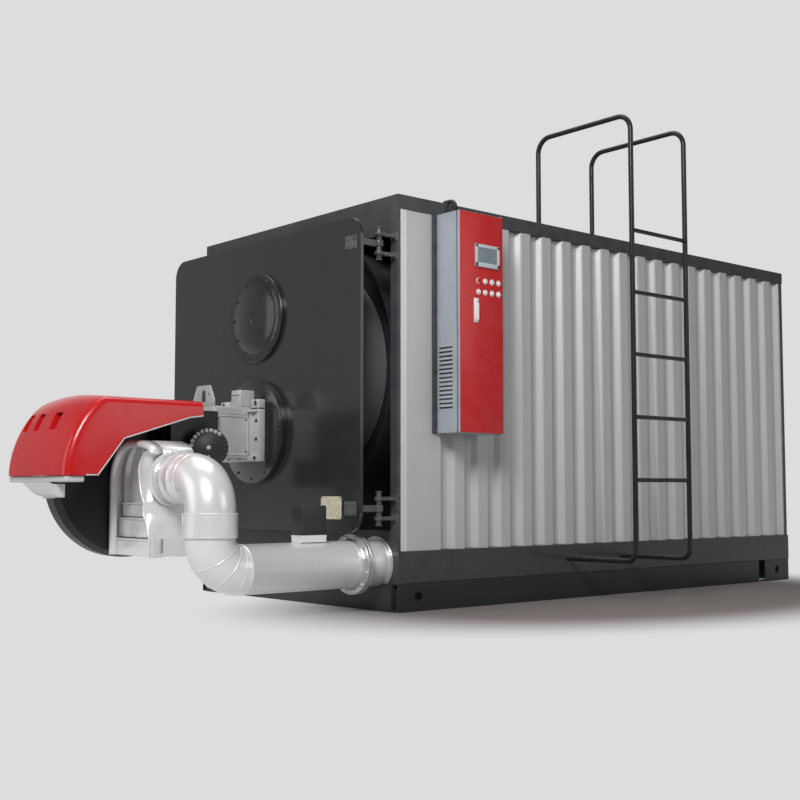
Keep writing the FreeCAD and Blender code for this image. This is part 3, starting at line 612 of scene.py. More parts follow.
def makeHingeDetail():
    d = hingeDetail
    fixed, moving = bmesh.new(), bmesh.new()
    for z in d["heights"]:
        for sign in (-1, 1):
            top = z + sign * 0.106
            addLathe(fixed, at(d["x"], d["ahead"], top - sign * 0.0005), (0, 0, sign),
                     [(0.019, -0.008), (0.021, -0.006), (0.021, -0.001), (0.017, 0.0005), (0, 0.0005)], 24)
            addSlab(fixed, (d["x"] - 0.026, d["x"] + 0.0255), (0.008, -0.0005),
                    (z + sign * 0.06 - 0.024, z + sign * 0.06 + 0.024), 0.0015, 1)
        addSlab(moving, (0.945, 1.058), (0.286, 0.2795), (z - 0.042, z + 0.042), 0.002, 1)
        for dx in (0.965, 1.036):
            for dz in (-0.026, 0.026):
                addBolt(moving, at(dx, 0.286, z + dz), (0, -1, 0), 0.015)
    newPiece("hingePinCaps", fixed, ["hingeGrey"], "casing")
    newPiece("hingePads", moving, ["hingeGrey"], "boiler_door")


doorDetail = {"cover": (0, 1.905), "coverRadius": 0.3, "plate": (0.81, 0.64), "plateSize": (0.205, 0.14)}


def makeDoorDetail():
    d = doorDetail
    x, z = d["cover"]
    r = d["coverRadius"]
    bm = bmesh.new()
    addLathe(bm, at(x, doorFace, z), (0, -1, 0),
             [(r, 0), (r, 0.022), (r - 0.004, 0.026), (r - 0.06, 0.026), (r - 0.066, 0.03), (r - 0.074, 0.035),
              (0.05, 0.035), (0.046, 0.031), (0, 0.031)], 72)
    addBoltRing(bm, (x, doorFace + 0.0255, z), r - 0.03, 12, 0, (0, -1, 0), 0.014, 1)
    newPiece("inspectionCover", bm, ["coverBlack", "boltDark"], "boiler_door",
             ["inspection_cover"])
    x, z = d["plate"]
    w, h = d["plateSize"]
    bm = bmesh.new()
    addSlab(bm, (x - w / 2, x + w / 2), (doorFace + 0.0035, doorFace), (z - h / 2, z + h / 2), 0.001, 1)
    for dx0, dx1, dz0, dz1 in ((-w / 2, w / 2, h / 2 - 0.014, h / 2), (-w / 2, w / 2, -h / 2, -h / 2 + 0.01),
                               (-w / 2, -w / 2 + 0.01, -h / 2, h / 2), (w / 2 - 0.01, w / 2, -h / 2, h / 2)):
        addSlab(bm, (x + dx0, x + dx1), (doorFace + 0.004, doorFace + 0.003), (z + dz0, z + dz1), 0.0004, 1)
    for sx in (-1, 1):
        for sz in (-1, 1):
            addLathe(bm, at(x + sx * (w / 2 - 0.016), doorFace + 0.0032, z + sz * (h / 2 - 0.02)), (0, -1, 0),
                     [(0.005, 0), (0.004, 0.0006), (0, 0.0008)], 12)
    newPiece("ratingPlate", bm, ["creamPlate"], "boiler_door", ["rating_plate"])


discSizes = {"radius": 0.344, "thick": 0.05, "bolts": 12, "boltRing": 0.315, "bore": 0.2503,
             "sunk": (0.12, 0.02)}


def makeDisc():
    d = discSizes
    bm = bmesh.new()
    r, t = d["radius"], d["thick"]
    middle = at(0, doorFace, burnerHeight)
    pit, depth = d["sunk"]
    addLathe(bm, middle, (0, -1, 0), [(d["bore"], 0), (r - 0.003, 0), (r, 0.003), (r, t - 0.006)], 96, 2)
    addLathe(bm, middle, (0, -1, 0),
             [(r, t - 0.006), (r - 0.001, t - 0.003), (r - 0.006, t), (pit, t), (pit, t - depth),
                                      (0, t - depth)], 96)
    addBoltRing(bm, (0, doorFace + t, burnerHeight), d["boltRing"], d["bolts"], 0, (0, -1, 0), 0.011, 1)
    newPiece("burnerDisc", bm, ["doorGloss", "boltDark", "coverBlack"], "boiler_door",
             ["burner_mount_disc"])


liftingSizes = {"outline": [(-0.128, 1.288), (0.128, 1.288), (0.128, 1.328), (0.078, 1.425), (-0.078, 1.425),
                            (-0.128, 1.328)],
                "face": 0.706, "thick": 0.009, "arch": 0.026, "archHeight": 1.372, "archFoot": (0.03, 1.318),
                "holes": (0.062, 1.366), "hole": 0.01}


def makeLiftingPlate():
    # thin plate across the head's end with a tall arched opening and two small holes
    d = liftingSizes
    bm = bmesh.new()
    addPrism(bm, [at(x, d["face"], z) for x, z in d["outline"]], (0, d["thick"], 0), 0.0015, 1)
    plate = newPiece("liftingBracket", bm, ["zincPlate", "castBlackAndShadowFill"], "boiler_door",
                     ["lifting_bracket"], 30)
    cut = bmesh.new()
    r, (footX, footZ) = d["arch"], d["archFoot"]
    arch = [(r * math.cos(a), d["archHeight"] + r * math.sin(a)) for a in (math.pi * k / 14 for k in range(15))]
    addPrism(cut, [at(x, d["face"] + 0.014, z) for x, z in arch + [(-footX, footZ), (footX, footZ)]],
             (0, 0.04, 0))
    holeX, holeZ = d["holes"]
    for x in (-holeX, holeX):
        addRod(cut, at(x, d["face"] + 0.014, holeZ), at(x, d["face"] - 0.026, holeZ), d["hole"], 20)
    carve(plate, meshFrom(cut))


headSizes = {"half": 0.128, "low": 0.955, "high": 1.29, "end": 0.706, "flange": 0.225, "flangeLow": 0.935,
             "flangeFace": 0.428, "gasket": 0.375, "earTop": 1.34, "earIn": 0.128, "earHole": (0.19, 1.314),
             "flangeBolts": (0.958, 1.08, 1.2), "boltX": 0.2, "cover": (0.694, 0.44), "coverUp": (0.972, 1.232)}
servoSizes = {"across": (0.015, 0.12), "ahead": (0.503, 0.388), "up": (1.292, 1.402), "seam": 1.366}


def makeHead():
    d = headSizes
    bm = bmesh.new()
    w, f, face, high, low = d["half"], d["flange"], d["flangeFace"], d["high"], d["flangeLow"]
    addSlab(bm, (-w, w), (d["end"], face - 0.01), (d["low"], high), 0.006, 3)
    # thick cast flange; behind it a black spacer, painted shadow in the gap to the disc; ears on top
    addSlab(bm, (-f, f), (face, d["gasket"]), (low, high), 0.006, 2)
    addSlab(bm, (-f + 0.012, f - 0.012), (d["gasket"] + 0.004, doorFace + 0.05), (low + 0.012, high - 0.004),
            0.003, 1, 1)
    holeX, holeZ = d["earHole"]
    for sign in (-1, 1):
        x0, x1 = sorted((sign * d["earIn"], sign * f))
        addSlab(bm, (x0, x1), (face, d["gasket"]), (high - 0.02, d["earTop"]), 0.006, 2)
        shelf = x1 - 0.006 if sign > 0 else x1
        addSlab(bm, (x0, shelf), (face + 0.03, face - 0.004), (high - 0.034, high - 0.024), 0.002, 1)
        # black discs in the ear holes: painted shade standing in for the holes
        addRod(bm, at(sign * holeX, face + 0.0015, holeZ), at(sign * holeX, face - 0.02, holeZ), 0.0165, 20,
               0, 1)
        addLathe(bm, at(sign * holeX, face, holeZ), (0, -1, 0),
                 [(0.024, -0.001), (0.024, 0.003), (0.018, 0.003), (0.017, 0)], 20)
    # raised frame on the flange face
    addSlab(bm, (-f + 0.02, f - 0.02), (face + 0.012, face - 0.002), (low + 0.006, low + 0.05), 0.003, 2)
    lowest = d["flangeBolts"][0]
    for sign in (-1, 1):
        x0, x1 = sorted((sign * (w + 0.004), sign * (w + 0.03)))
        addSlab(bm, (x0, x1), (face + 0.012, face - 0.002), (low + 0.04, high - 0.012), 0.003, 2)
        for z in d["flangeBolts"]:
            addBolt(bm, at(sign * d["boltX"], face + (0.012 if z == lowest else 0.0), z), (0, -1, 0), 0.013, 1)
    for x in (-0.1, 0.03):
        addBolt(bm, at(x, face + 0.012, lowest), (0, -1, 0), 0.013, 1)
    # side covers: raised border with a sunk panel, a strip above
    far, near = d["cover"]
    foot, top = d["coverUp"]
    borders = (((far, near), (top - 0.01, top)), ((far, near), (foot, foot + 0.012)),
               ((far, far - 0.012), (foot, top)), ((near + 0.012, near), (foot, top)))
    for sign in (-1, 1):
        x0, x1 = sorted((sign * (w - 0.001), sign * (w + 0.006)))
        for ahead, up in borders:
            addSlab(bm, (x0, x1), ahead, up, 0.002, 1)
        x0, x1 = sorted((sign * (w - 0.001), sign * (w + 0.0035)))
        addSlab(bm, (x0, x1), (far - 0.004, near + 0.01), (top + 0.006, high - 0.01), 0.0015, 1)
        for p in (far - 0.02, near + 0.02):
            for z in (foot + 0.026, top - 0.024):
                addBolt(bm, at(sign * (w + 0.001), p, z), (sign, 0, 0), 0.009, 1, False)
    # front face border, seen beside the hood
    for edges in ((-w + 0.01, -w + 0.03), (w - 0.03, w - 0.01)):
        addSlab(bm, edges, (d["end"] + 0.004, d["end"] - 0.002), (1.0, high - 0.01), 0.002, 1)
    newPiece("burnerHead", bm, ["castAlloy", "castBlackAndShadowFill"], "boiler_door", ["burner_head"])


def makeServo():
    (x0, x1), (far, near), (low, high) = (servoSizes[key] for key in ("across", "ahead", "up"))
    seam = servoSizes["seam"]
    bm = bmesh.new()
    addSlab(bm, (x0, x1), (far, near), (low, high), 0.007, 3)
    addSlab(bm, (x0 + 0.002, x1 - 0.002), (far + 0.002, near + 0.002), (seam, seam + 0.004), 0.001, 1, 1)
    addSlab(bm, (x0 + 0.005, x1 - 0.005), (far - 0.003, near + 0.004), (low - 0.003, low + 0.004), 0.002, 1)
    for x in (x0 + 0.015, x1 - 0.015):
        for p in (near + 0.015, far - 0.015):
            addBolt(bm, at(x, p, high), (0, 0, 1), 0.007, 1, False)
    newPiece("servoBox", bm, ["castAlloy", "castBlackAndShadowFill"], "boiler_door", ["servo_box"])


hoodSizes = {"half": 0.4, "nose": 1.85, "noseLow": 0.833, "shoulder": (1.6, 1.293), "rear": (0.95, 1.29),
             "under": [(0.95, 1.197), (1.046, 1.185), (1.482, 1.048), (1.646, 0.833)],
             "corner": 0.045, "crown": 0.024, "trim": 0.0045, "roofSteps": 14, "noseSteps": 28,
             "shoulderPull": (0.125, -0.045), "nosePull": (0.004, 0.19), "bulge": 0.004,
             "slotDepth": (0.022, 0.016), "slots": ((-0.33, 0.062), (-0.178, 0.076), (0.04, 0.092)),
             "slotLow": 1.102, "slotHigh": 1.206, "slotLean": -0.024}


def hoodPath():
    d = hoodSizes
    rear, shoulder = Vector(d["rear"]), Vector(d["shoulder"])
    nose = Vector((d["nose"], d["noseLow"]))
    points = [rear + (shoulder - rear) * k / d["roofSteps"] for k in range(d["roofSteps"])]
    # one smooth curve from the shoulder down to the nose
    pull1, pull2 = shoulder + Vector(d["shoulderPull"]), nose + Vector(d["nosePull"])
    for k in range(d["noseSteps"] + 1):
        t = k / d["noseSteps"]
        points.append(shoulder * (1 - t) ** 3 + pull1 * 3 * t * (1 - t) ** 2
                      + pull2 * 3 * t * t * (1 - t) + nose * t ** 3)
    return points


def makeHood():
    d = hoodSizes
    path = hoodPath()
    bm = bmesh.new()
    w = d["half"]
    rows = []
    arc = 7
    for i, point in enumerate(path):
        ahead = path[min(i + 1, len(path) - 1)] - path[max(i - 1, 0)]
        ahead.normalize()
        inward = Vector((ahead.y, -ahead.x))
        share = max(0.0, min(1.0, (i - 12) / 16))
        r = d["corner"]
        section = []
        for k in range(arc + 1):
            a = math.pi / 2 * k / arc
            section.append((w - r + r * math.sin(a), r * (1 - math.cos(a))))
        flat = [(w - r) * k / 6 for k in range(6)]
        right = [(x, 0.0) for x in flat] + section
        row = []
        rise = d["crown"] * (1 - share) + 0.006 * share
        for x, depth in [(-x, depth) for x, depth in reversed(right[1:])] + right:
            crown = rise * (1 - min(1.0, abs(x) / (w - r)) ** 2)
            if share > 0:
                crown -= 0.003 * share
            spot = point + inward * (depth - crown)
            row.append(bm.verts.new(at(x, min(spot.x, d["nose"] + d["bulge"]), max(spot.y, d["noseLow"]))))
        rows.append(row)
    for a, b in zip(rows, rows[1:]):
        for k in range(len(a) - 1):
            bm.faces.new([a[k], a[k + 1], b[k + 1], b[k]])
    lower = d["under"]
    for column, x in ((0, -w), (-1, w)):
        bm.faces.new([row[column] for row in rows] + [bm.verts.new(at(x, p, z)) for p, z in reversed(lower)])
    # rear end and underside
    bmesh.ops.holes_fill(bm, edges=[e for e in bm.edges if e.is_boundary], sides=0)
    bmesh.ops.triangulate(bm, faces=[f for f in bm.faces if len(f.verts) > 4])
    hood = newPiece("burnerHood", bm, ["hoodRed", "slotShadeRed", "burnerBlack"], "boiler_door",
                    ["burner_hood"], 28)
    cut = bmesh.new()
    for x0, wide in d["slots"]:
        lean = d["slotLean"]
        corners = ((x0, d["slotLow"]), (x0 + wide, d["slotLow"]), (x0 + wide + lean, d["slotHigh"]),
                   (x0 + lean, d["slotHigh"]))
        addPrism(cut, [at(x, 1.9, z) for x, z in corners], (0, 0.32, 0))
    slots = meshFrom(cut)
    limit = bmesh.new()
    deepP, deepZ = d["slotDepth"]
    inside = [at(-w - 0.01, point.x - deepP, point.y - deepZ) for point in path[8:]]
    inside += [at(-w - 0.01, 1.6, 0.9), at(-w - 0.01, 1.4, 1.1)]
    addPrism(limit, inside, (2 * w + 0.02, 0, 0))
    carve(slots, meshFrom(limit))
    # the slot walls take the darker red, painted shade in the recesses
    carve(hood, slots, 1)
    hood.data.shade_smooth()
    hood.data.set_sharp_from_angle(angle=math.radians(28))
    bm = bmesh.new()
    for x in (-w + 0.001, w - 0.001):
        line = [at(x, 0.952, 1.2)] + [at(x, p, z + 0.002) for p, z in lower[1:]] + [at(x, 1.72, 0.836)]
        addSweep(bm, line, d["trim"], 8)
    newPiece("hoodTrim", bm, ["trayGrey"], "boiler_door")


traySizes = {"half": 0.385, "front": 1.835, "rear": 1.72, "top": 0.8325, "low": 0.795,
             "scoop": [(-0.26, 0.796), (-0.229, 0.79), (-0.19, 0.777), (-0.143, 0.757), (-0.09, 0.735),
                       (-0.033, 0.719), (0.02, 0.713), (0.08, 0.71), (0.14, 0.708), (0.2, 0.706),
                       (0.222, 0.706), (0.23, 0.712)],
             "scoopRear": 1.765, "round": 0.022, "foot": ((-0.06, 0.02), (1.768, 1.722), (0.7, 0.796))}


def makeTray():
    d = traySizes
    bm = bmesh.new()
    addSlab(bm, (-d["half"], d["half"]), (d["front"], d["rear"]), (d["low"], d["top"]), 0.01, 3)
    # a rounded scoop hangs under the slab and reaches back to the fan's rim
    rows = []
    r = d["round"]
    for x, low in d["scoop"]:
        top = d["low"] + 0.004 if x < 0.15 else d["low"] - 0.012
        line = [(d["scoopRear"], top), (d["scoopRear"], low)]
        for k in range(7):
            a = math.pi / 2 * k / 6
            line.append((d["front"] - 0.006 - r + r * math.sin(a), low + r * (1 - math.cos(a))))
        line.append((d["front"] - 0.006, max(top, low + r)))
        rows.append([bm.verts.new(at(x, p, min(z, max(top, low)))) for p, z in line])
    for a, b in zip(rows, rows[1:]):
        for k in range(len(a)):
            n = (k + 1) % len(a)
            bm.faces.new([a[k], b[k], b[n], a[n]])
    bm.faces.new(rows[0])
    bm.faces.new(list(reversed(rows[-1])))
    bmesh.ops.remove_doubles(bm, verts=bm.verts[:], dist=0.0001)
    # the foot that takes the slab's weight on the fan's rim
    addSlab(bm, *d["foot"], 0.004, 2)
    newPiece("hoodTray", bm, ["trayGrey"], "boiler_door", ["hood_tray"], 40)


fanSizes = {"radius": 0.503, "axis": (1.227, 0.841), "left": -0.147, "edge": -0.041, "right": 0.02,
            "slope": 0.021, "straightRear": 1.05}


def makeFan():
    d = fanSizes
    r, small = d["radius"], d["radius"] - d["slope"]
    origin = at(0, *d["axis"])
    bm = bmesh.new()
    left, edge, right = d["left"], d["edge"], d["right"]
    wall = [(0, left), (r - 0.01, left), (r, left + 0.01), (r, edge - 0.004), (r - 0.003, edge)]
    band = [(r - 0.003, edge), (small + 0.003, right - 0.006), (small - 0.001, right - 0.001)]
    face = [(small - 0.001, right - 0.001), (small - 0.008, right - 0.001), (small - 0.012, right - 0.006),
            (0.2, right - 0.008), (0, right - 0.008)]
    for profile, tint in ((wall, 0), (band, 1), (face, 0)):
        addLathe(bm, origin, (1, 0, 0), profile, 128, tint)
    bmesh.ops.remove_doubles(bm, verts=bm.verts[:], dist=0.00002)
    fan = newPiece("fanVolute", bm, ["fanBlack", "fanBand"], "boiler_door",
                   ["fan_volute"], 30)
    cut = bmesh.new()
    under = hoodSizes["under"]
    # everything above the hood's underside and the tray goes
    line = [(2.1, 0.79), (1.72, 0.79), (1.72, 0.836), (1.646, 0.838)]
    line += [(p, z + 0.006) for p, z in reversed(under[:3])] + [(0.6, 1.196), (0.6, 2.0), (2.1, 2.0)]
    addPrism(cut, [at(-0.5, p, z) for p, z in line], (1, 0, 0))
    carve(fan, meshFrom(cut))
    # and everything behind the drum's straight rear
    cut = bmesh.new()
    addSlab(cut, (-0.6, 0.6), (d["straightRear"], 0), (0, 2))
    carve(fan, meshFrom(cut))
    fan.data.shade_smooth()
    fan.data.set_sharp_from_angle(angle=math.radians(30))


regulatorSizes = {"radius": 0.122, "face": (0.3, 0.849, 1.012), "turn": 30, "thick": 0.062, "bolts": 24}


def makeRegulator():
    d = regulatorSizes
    turn = math.radians(d["turn"])
    way = Vector((math.cos(turn), -math.sin(turn), 0))
    face = at(*d["face"])
    bm = bmesh.new()
    r, t = d["radius"], d["thick"]
    root = face - way * (d["face"][0] - 0.16)
    profile = [(0.05, -0.16), (0.05, -t - 0.02), (0.075, -t), (r - 0.012, -t), (r, -t + 0.008), (r, -0.036),
               (r - 0.004, -0.034), (r - 0.004, -0.03), (r, -0.028), (r, -0.012), (r - 0.004, -0.009),
               (r - 0.034, -0.009), (r - 0.05, -0.003), (0.03, -0.001), (0.026, 0), (0, 0)]
    addLathe(bm, face, way, profile, 64)
    addRod(bm, root, face - way * t, 0.05, 32)
    side, up = frameOf(way)
    for k in range(d["bolts"]):
        a = 2 * math.pi * (k + 0.5) / d["bolts"]
        spot = face - way * 0.009 + (side * math.cos(a) + up * math.sin(a)) * (r - 0.014)
        shown = (side * math.cos(a) + up * math.sin(a)).dot(Vector((-0.6, 0, 0.8))) > 0.35
        addBolt(bm, spot, way, 0.0125, 1 if shown else 0)
    addBolt(bm, face - way * 0.001, way, 0.014, 1)
    addBolt(bm, face - way * 0.004 - up * 0.052, way, 0.011, 1)
    newPiece("gasRegulator", bm, ["castBlackAndShadowFill", "boltBright"], "boiler_door",
             ["gas_regulator"], 30)


boxSizes = {"left": 0.02, "right": 0.49, "front": 1.361, "rear": 1.061, "low": 0.358, "spring": 0.812,
            "crown": 0.235, "curl": 0.085, "sweep": 0.26, "bead": 0.024, "sunk": 0.11, "sheet": 0.002,
            "rightTop": 0.94,
            "shoulder": [(0.3, 1.0465), (0.35, 1.042), (0.4, 1.03), (0.44, 1.014), (0.467, 0.997),
                         (0.482, 0.98), (0.489, 0.96)],
            "rimShoulder": [(0.3, 1.0225, 1), (0.35, 1.019, 0.98), (0.4, 1.009, 0.9), (0.44, 0.997, 0.75),
                            (0.47, 0.986, 0.6)], "rimEnd": 0.42,
            "edge": [(0.358, 0.488), (0.46, 0.491), (0.507, 0.472), (0.565, 0.447), (0.6, 0.418), (0.618, 0.41),
                     (0.65, 0.414), (0.677, 0.419), (0.713, 0.394), (0.76, 0.374), (0.815, 0.361),
                     (0.875, 0.353), (0.922, 0.374), (0.95, 0.4), (0.966, 0.43), (0.978, 0.462), (0.99, 0.474)],
            "steps": ((0.589, 0.677, 0.062), (0.467, 0.587, 0.04), (0.36, 0.465, 0.018))}


def quarterArch(middle, spring, radius, steps):
    turns = [math.pi / 2 * k / steps for k in range(steps + 1)]
    return [(middle - radius * math.cos(a), spring + radius * math.sin(a)) for a in turns]


def boxOutline():
    # left foot, up, over the arch and down to the right foot
    d = boxSizes
    middle, r = d["left"] + d["crown"], d["crown"]
    points = [(d["left"], d["low"] + (d["spring"] - d["low"]) * k / 6) for k in range(6)]
    points += quarterArch(middle, d["spring"], r, 16)
    points += d["shoulder"]
    points += [(d["right"], d["rightTop"] - (d["rightTop"] - d["low"]) * k / 8) for k in range(9)]
    return points


def edgeAt(z):
    rows = boxSizes["edge"]
    for (z0, x0), (z1, x1) in zip(rows, rows[1:]):
        if z <= z1:
            share = (z - z0) / (z1 - z0)
            return x0 + (x1 - x0) * share
    return rows[-1][1]


def makeIntakeBox():
    d = boxSizes
    bm = bmesh.new()
    outline = boxOutline()
    back, front = d["rear"], d["front"]
    bend = front - d["curl"]

    def ring(p, points):
        return [bm.verts.new(at(x, p, z)) for x, z in points]

    def skin(a, b):
        for k in range(len(a) - 1):
            bm.faces.new([a[k], a[k + 1], b[k + 1], b[k]])

    soft = [(x + (0.255 - x) * 0.03, z + (0.7 - z) * 0.025) for x, z in outline]
    rings = [ring(back, soft), ring(back + 0.008, outline), ring(bend, outline)]
    bm.faces.new(rings[0])
    for a, b in zip(rings, rings[1:]):
        skin(a[:-8], b[:-8])
        bm.faces.new([a[-1], a[0], b[0], b[-1]])
    # left wall and arch go on to the front edge
    arch = [point for point in outline if not (point[0] > 0.3 and point[1] < 0.95)]
    skin(ring(bend, arch), ring(front, arch))
    # right wall curls in to the swept edge
    rows = []
    count = 44
    top = d["edge"][-1][0]
    for i in range(count + 1):
        z = d["low"] + (top - d["low"]) * i / count
        x0 = edgeAt(z)
        # the last stretch lifts to meet the crown
        lift = max(0.0, (z - (top - 0.09)) / 0.09)
        row = []
        for k in range(19):
            a = math.pi / 2 * k / 18
            x = x0 + (d["right"] - x0) * math.sin(a)
            roof = 1.03 - max(0.0, (x - 0.4)) * 0.75
            row.append(bm.verts.new(at(x, front - d["sweep"] * (1 - math.cos(a)), z + (roof - top) * lift)))
        row.append(bm.verts.new(at(d["right"], back + 0.008, row[-1].co.z)))
        rows.append(row)
    for a, b in zip(rows, rows[1:]):
        skin(a, b)
    # inner side of the swept edge
    inner = [[bm.verts.new(row[0].co + Vector((-0.001, k * 0.03, 0))) for row in rows] for k in range(4)]
    for a, b in zip(inner, inner[1:]):
        skin(a, b)
    body = newPiece("intakeBox", bm, ["ductSilver"], "boiler_door", ["intake_box"], 50)
    thick = body.modifiers.new("sheet", "SOLIDIFY")
    thick.thickness = d["sheet"]
    # round bead along the left side and the arch, thin one along the swept edge
    b = d["bead"]
    bm = bmesh.new()
    left, r, middle = d["left"] + b, d["crown"] - b, d["left"] + d["crown"]
    path = [(left, 0.362), (left, 0.5), (left, 0.65), (left, d["spring"])]
    path += quarterArch(middle, d["spring"], r, 18)[1:]
    path += [(x, z) for x, z, _ in d["rimShoulder"]]
    sizes = [b] * (len(path) - 5) + [b * share for _, _, share in d["rimShoulder"][1:]] + [b * d["rimEnd"]]
    addSweep(bm, [at(x, front - 0.004, z) for x, z in path], sizes, 24)
    addSweep(bm, [at(x, front - 0.001, z) for z, x in d["edge"]], 0.0065, 12)
    newPiece("intakeRims", bm, ["ductSilver"], "boiler_door", angle=60)
    # sunk back with three stepped shelves in front of it
    bm = bmesh.new()
    sunk = [(x + (0.25 - x) * 0.12, z) for x, z in boxOutline() if z < 1.02]
    addPrism(bm, [at(x, front - d["sunk"], min(z, 1.0)) for x, z in sunk], (0, 0.01, 0), 0.0, 1)
    for low, high, deep in d["steps"]:
        right = min(edgeAt(low + 0.01), edgeAt(high - 0.01), edgeAt((low + high) / 2)) - 0.003
        addSlab(bm, (0.046, right), (front - deep, front - d["sunk"] - 0.005), (low, high - 0.004), 0.009, 3)
        addSlab(bm, (0.046, right), (front - deep + 0.006, front - deep - 0.01), (high - 0.014, high - 0.002),
                0.004, 2)
    newPiece("intakeSteps", bm, ["ductSilver"], "boiler_door", angle=45)


ductSizes = {"radius": 0.145, "x": 0.902, "z": 0.295, "flange": 0.186, "flangeFront": 0.207, "riser": 1.211,
             "lowBend": 0.19, "highBend": 0.178, "axisHigh": 0.813, "collarLow": 0.481, "boxRight": 0.49}


def addPipe(bm, start, end, radius, seams=()):
    # a run of pipe with low raised seams at the given shares of its length
    run = Vector(end) - Vector(start)
    length = run.length
    profile = [(radius, 0)]
    for share in seams:
        s = share * length
        profile += [(radius, s - 0.006), (radius + 0.0028, s - 0.002), (radius + 0.0028, s + 0.002),
                    (radius, s + 0.006)]
    profile.append((radius, length))
    addLathe(bm, start, run, profile, 72)


def addElbow(bm, centre, fromDir, toDir, bend, radius, seams):
    # quarter bend about centre; ring seams at the given shares of the turn
    fromDir, toDir = Vector(fromDir), Vector(toDir)
    axis = fromDir.cross(toDir)
    rings = []
    steps = 28
    marks = [(k / steps, 0.0) for k in range(steps + 1)]
    for share in seams:
        marks += [(share - 0.012, 0.0), (share - 0.004, 0.003), (share + 0.004, 0.003), (share + 0.012, 0.0)]
    clear = [m for m in marks if m[1] > 0 or all(abs(m[0] - s) >= 0.0119 for s in seams)]
    for share, rise in sorted(clear):
        a = math.pi / 2 * share
        out = fromDir * math.cos(a) + toDir * math.sin(a)
        middle = Vector(centre) + out * bend
        rings.append([bm.verts.new(middle + (out * math.cos(t) + axis * math.sin(t)) * (radius + rise))
                      for t in (2 * math.pi * k / 72 for k in range(72))])
    for a, b in zip(rings, rings[1:]):
        for k in range(72):
            n = (k + 1) % 72
            bm.faces.new([a[k], a[n], b[n], b[k]])


def makeDuct():
    d = ductSizes
    r, x, z, riser = d["radius"], d["x"], d["z"], d["riser"]
    bm = bmesh.new()
    topZ = d["axisHigh"] - d["highBend"]
    addPipe(bm, at(x, riser, d["collarLow"] + 0.021), at(x, riser, topZ), r)
    centre = at(x - d["highBend"], riser, topZ)
    addElbow(bm, centre, (1, 0, 0), (0, 0, 1), d["highBend"], r, seams=(0.97,))
    addPipe(bm, at(x - d["highBend"], riser, d["axisHigh"]), at(d["boxRight"] - 0.002, riser, d["axisHigh"]),
            r, (0.28, 0.62))
    addLathe(bm, at(d["boxRight"], riser, d["axisHigh"]), (1, 0, 0),
             [(r + 0.002, 0), (r + 0.016, 0.001), (r + 0.012, 0.01), (r + 0.001, 0.014)], 72)
    newPiece("upperElbow", bm, ["ductSilver"], "boiler_door", ["upper_elbow"], 40)
    bm = bmesh.new()
    c = r + 0.013
    addLathe(bm, at(x, riser, d["collarLow"]), (0, 0, 1),
             [(r + 0.0005, 0), (c - 0.003, 0), (c, 0.003), (c, 0.008), (c - 0.002, 0.011), (c - 0.002, 0.126),
              (c, 0.129), (c, 0.137), (c - 0.003, 0.14), (r + 0.0005, 0.14)], 72)
    newPiece("ductCollar", bm, ["ductSilver"], "boiler_door", ["duct_collar"], 30)
    bm = bmesh.new()
    lowY = riser - d["lowBend"]
    centre = at(x, lowY, z + d["lowBend"])
    addElbow(bm, centre, (0, 0, -1), (0, -1, 0), d["lowBend"], r, seams=(0.12, 0.36, 0.62))
    addPipe(bm, at(x, riser, z + d["lowBend"]), at(x, riser, d["collarLow"] + 0.02), r)
    newPiece("lowerElbow", bm, ["ductSilver"], "boiler_door", ["lower_elbow"], 40)
    bm = bmesh.new()
    joint = d["flangeFront"] - 0.02
    addPipe(bm, at(x, lowY, z), at(x, joint, z), r, (0.012,))
    f = d["flange"]
    addLathe(bm, at(x, d["flangeFront"], z), (0, 1, 0),
             [(r + 0.0005, -0.014), (r + 0.006, -0.01), (r + 0.012, 0), (f - 0.002, 0), (f, 0.002), (f, 0.018),
              (f - 0.002, 0.02), (r - 0.004, 0.02)], 96, 1)
    addBoltRing(bm, (x, d["flangeFront"], z), f - 0.019, 12, 0.5, (0, -1, 0), 0.013, 2)
    newPiece("recirculationPipe", bm, ["ductSilver", "flangeSteel", "boltBright"], "boiler_door",
             ["recirculation_pipe"], 35)
    bm = bmesh.new()
    seat = joint - 0.005
    addPipe(bm, at(x, seat - 0.02, z), at(x, -0.12, z), r, ())
    addLathe(bm, at(x, seat, z), (0, 1, 0),
             [(r - 0.004, 0), (f - 0.002, 0), (f, 0.002), (f, 0.018), (f - 0.002, 0.02), (r + 0.012, 0.02),
              (r + 0.006, 0.03), (r, 0.034)], 96, 1)
    addLathe(bm, at(x, 0.003, z), (0, 1, 0),
             [(r, 0), (r + 0.02, 0.0), (r + 0.022, 0.002), (r + 0.022, 0.003)], 72, 1)
    addBoltRing(bm, (x, seat - 0.02, z), f - 0.019, 12, 0.5, (0, 1, 0), 0.013, 2)
    newPiece("pipeStub", bm, ["ductSilver", "flangeSteel", "boltBright"], "casing",
             ["pipe_stub"], 35)


damperSizes = {"x": 0.892, "half": 0.055, "ahead": (0.602, 0.422), "up": (0.48, 0.656), "seam": 0.598}


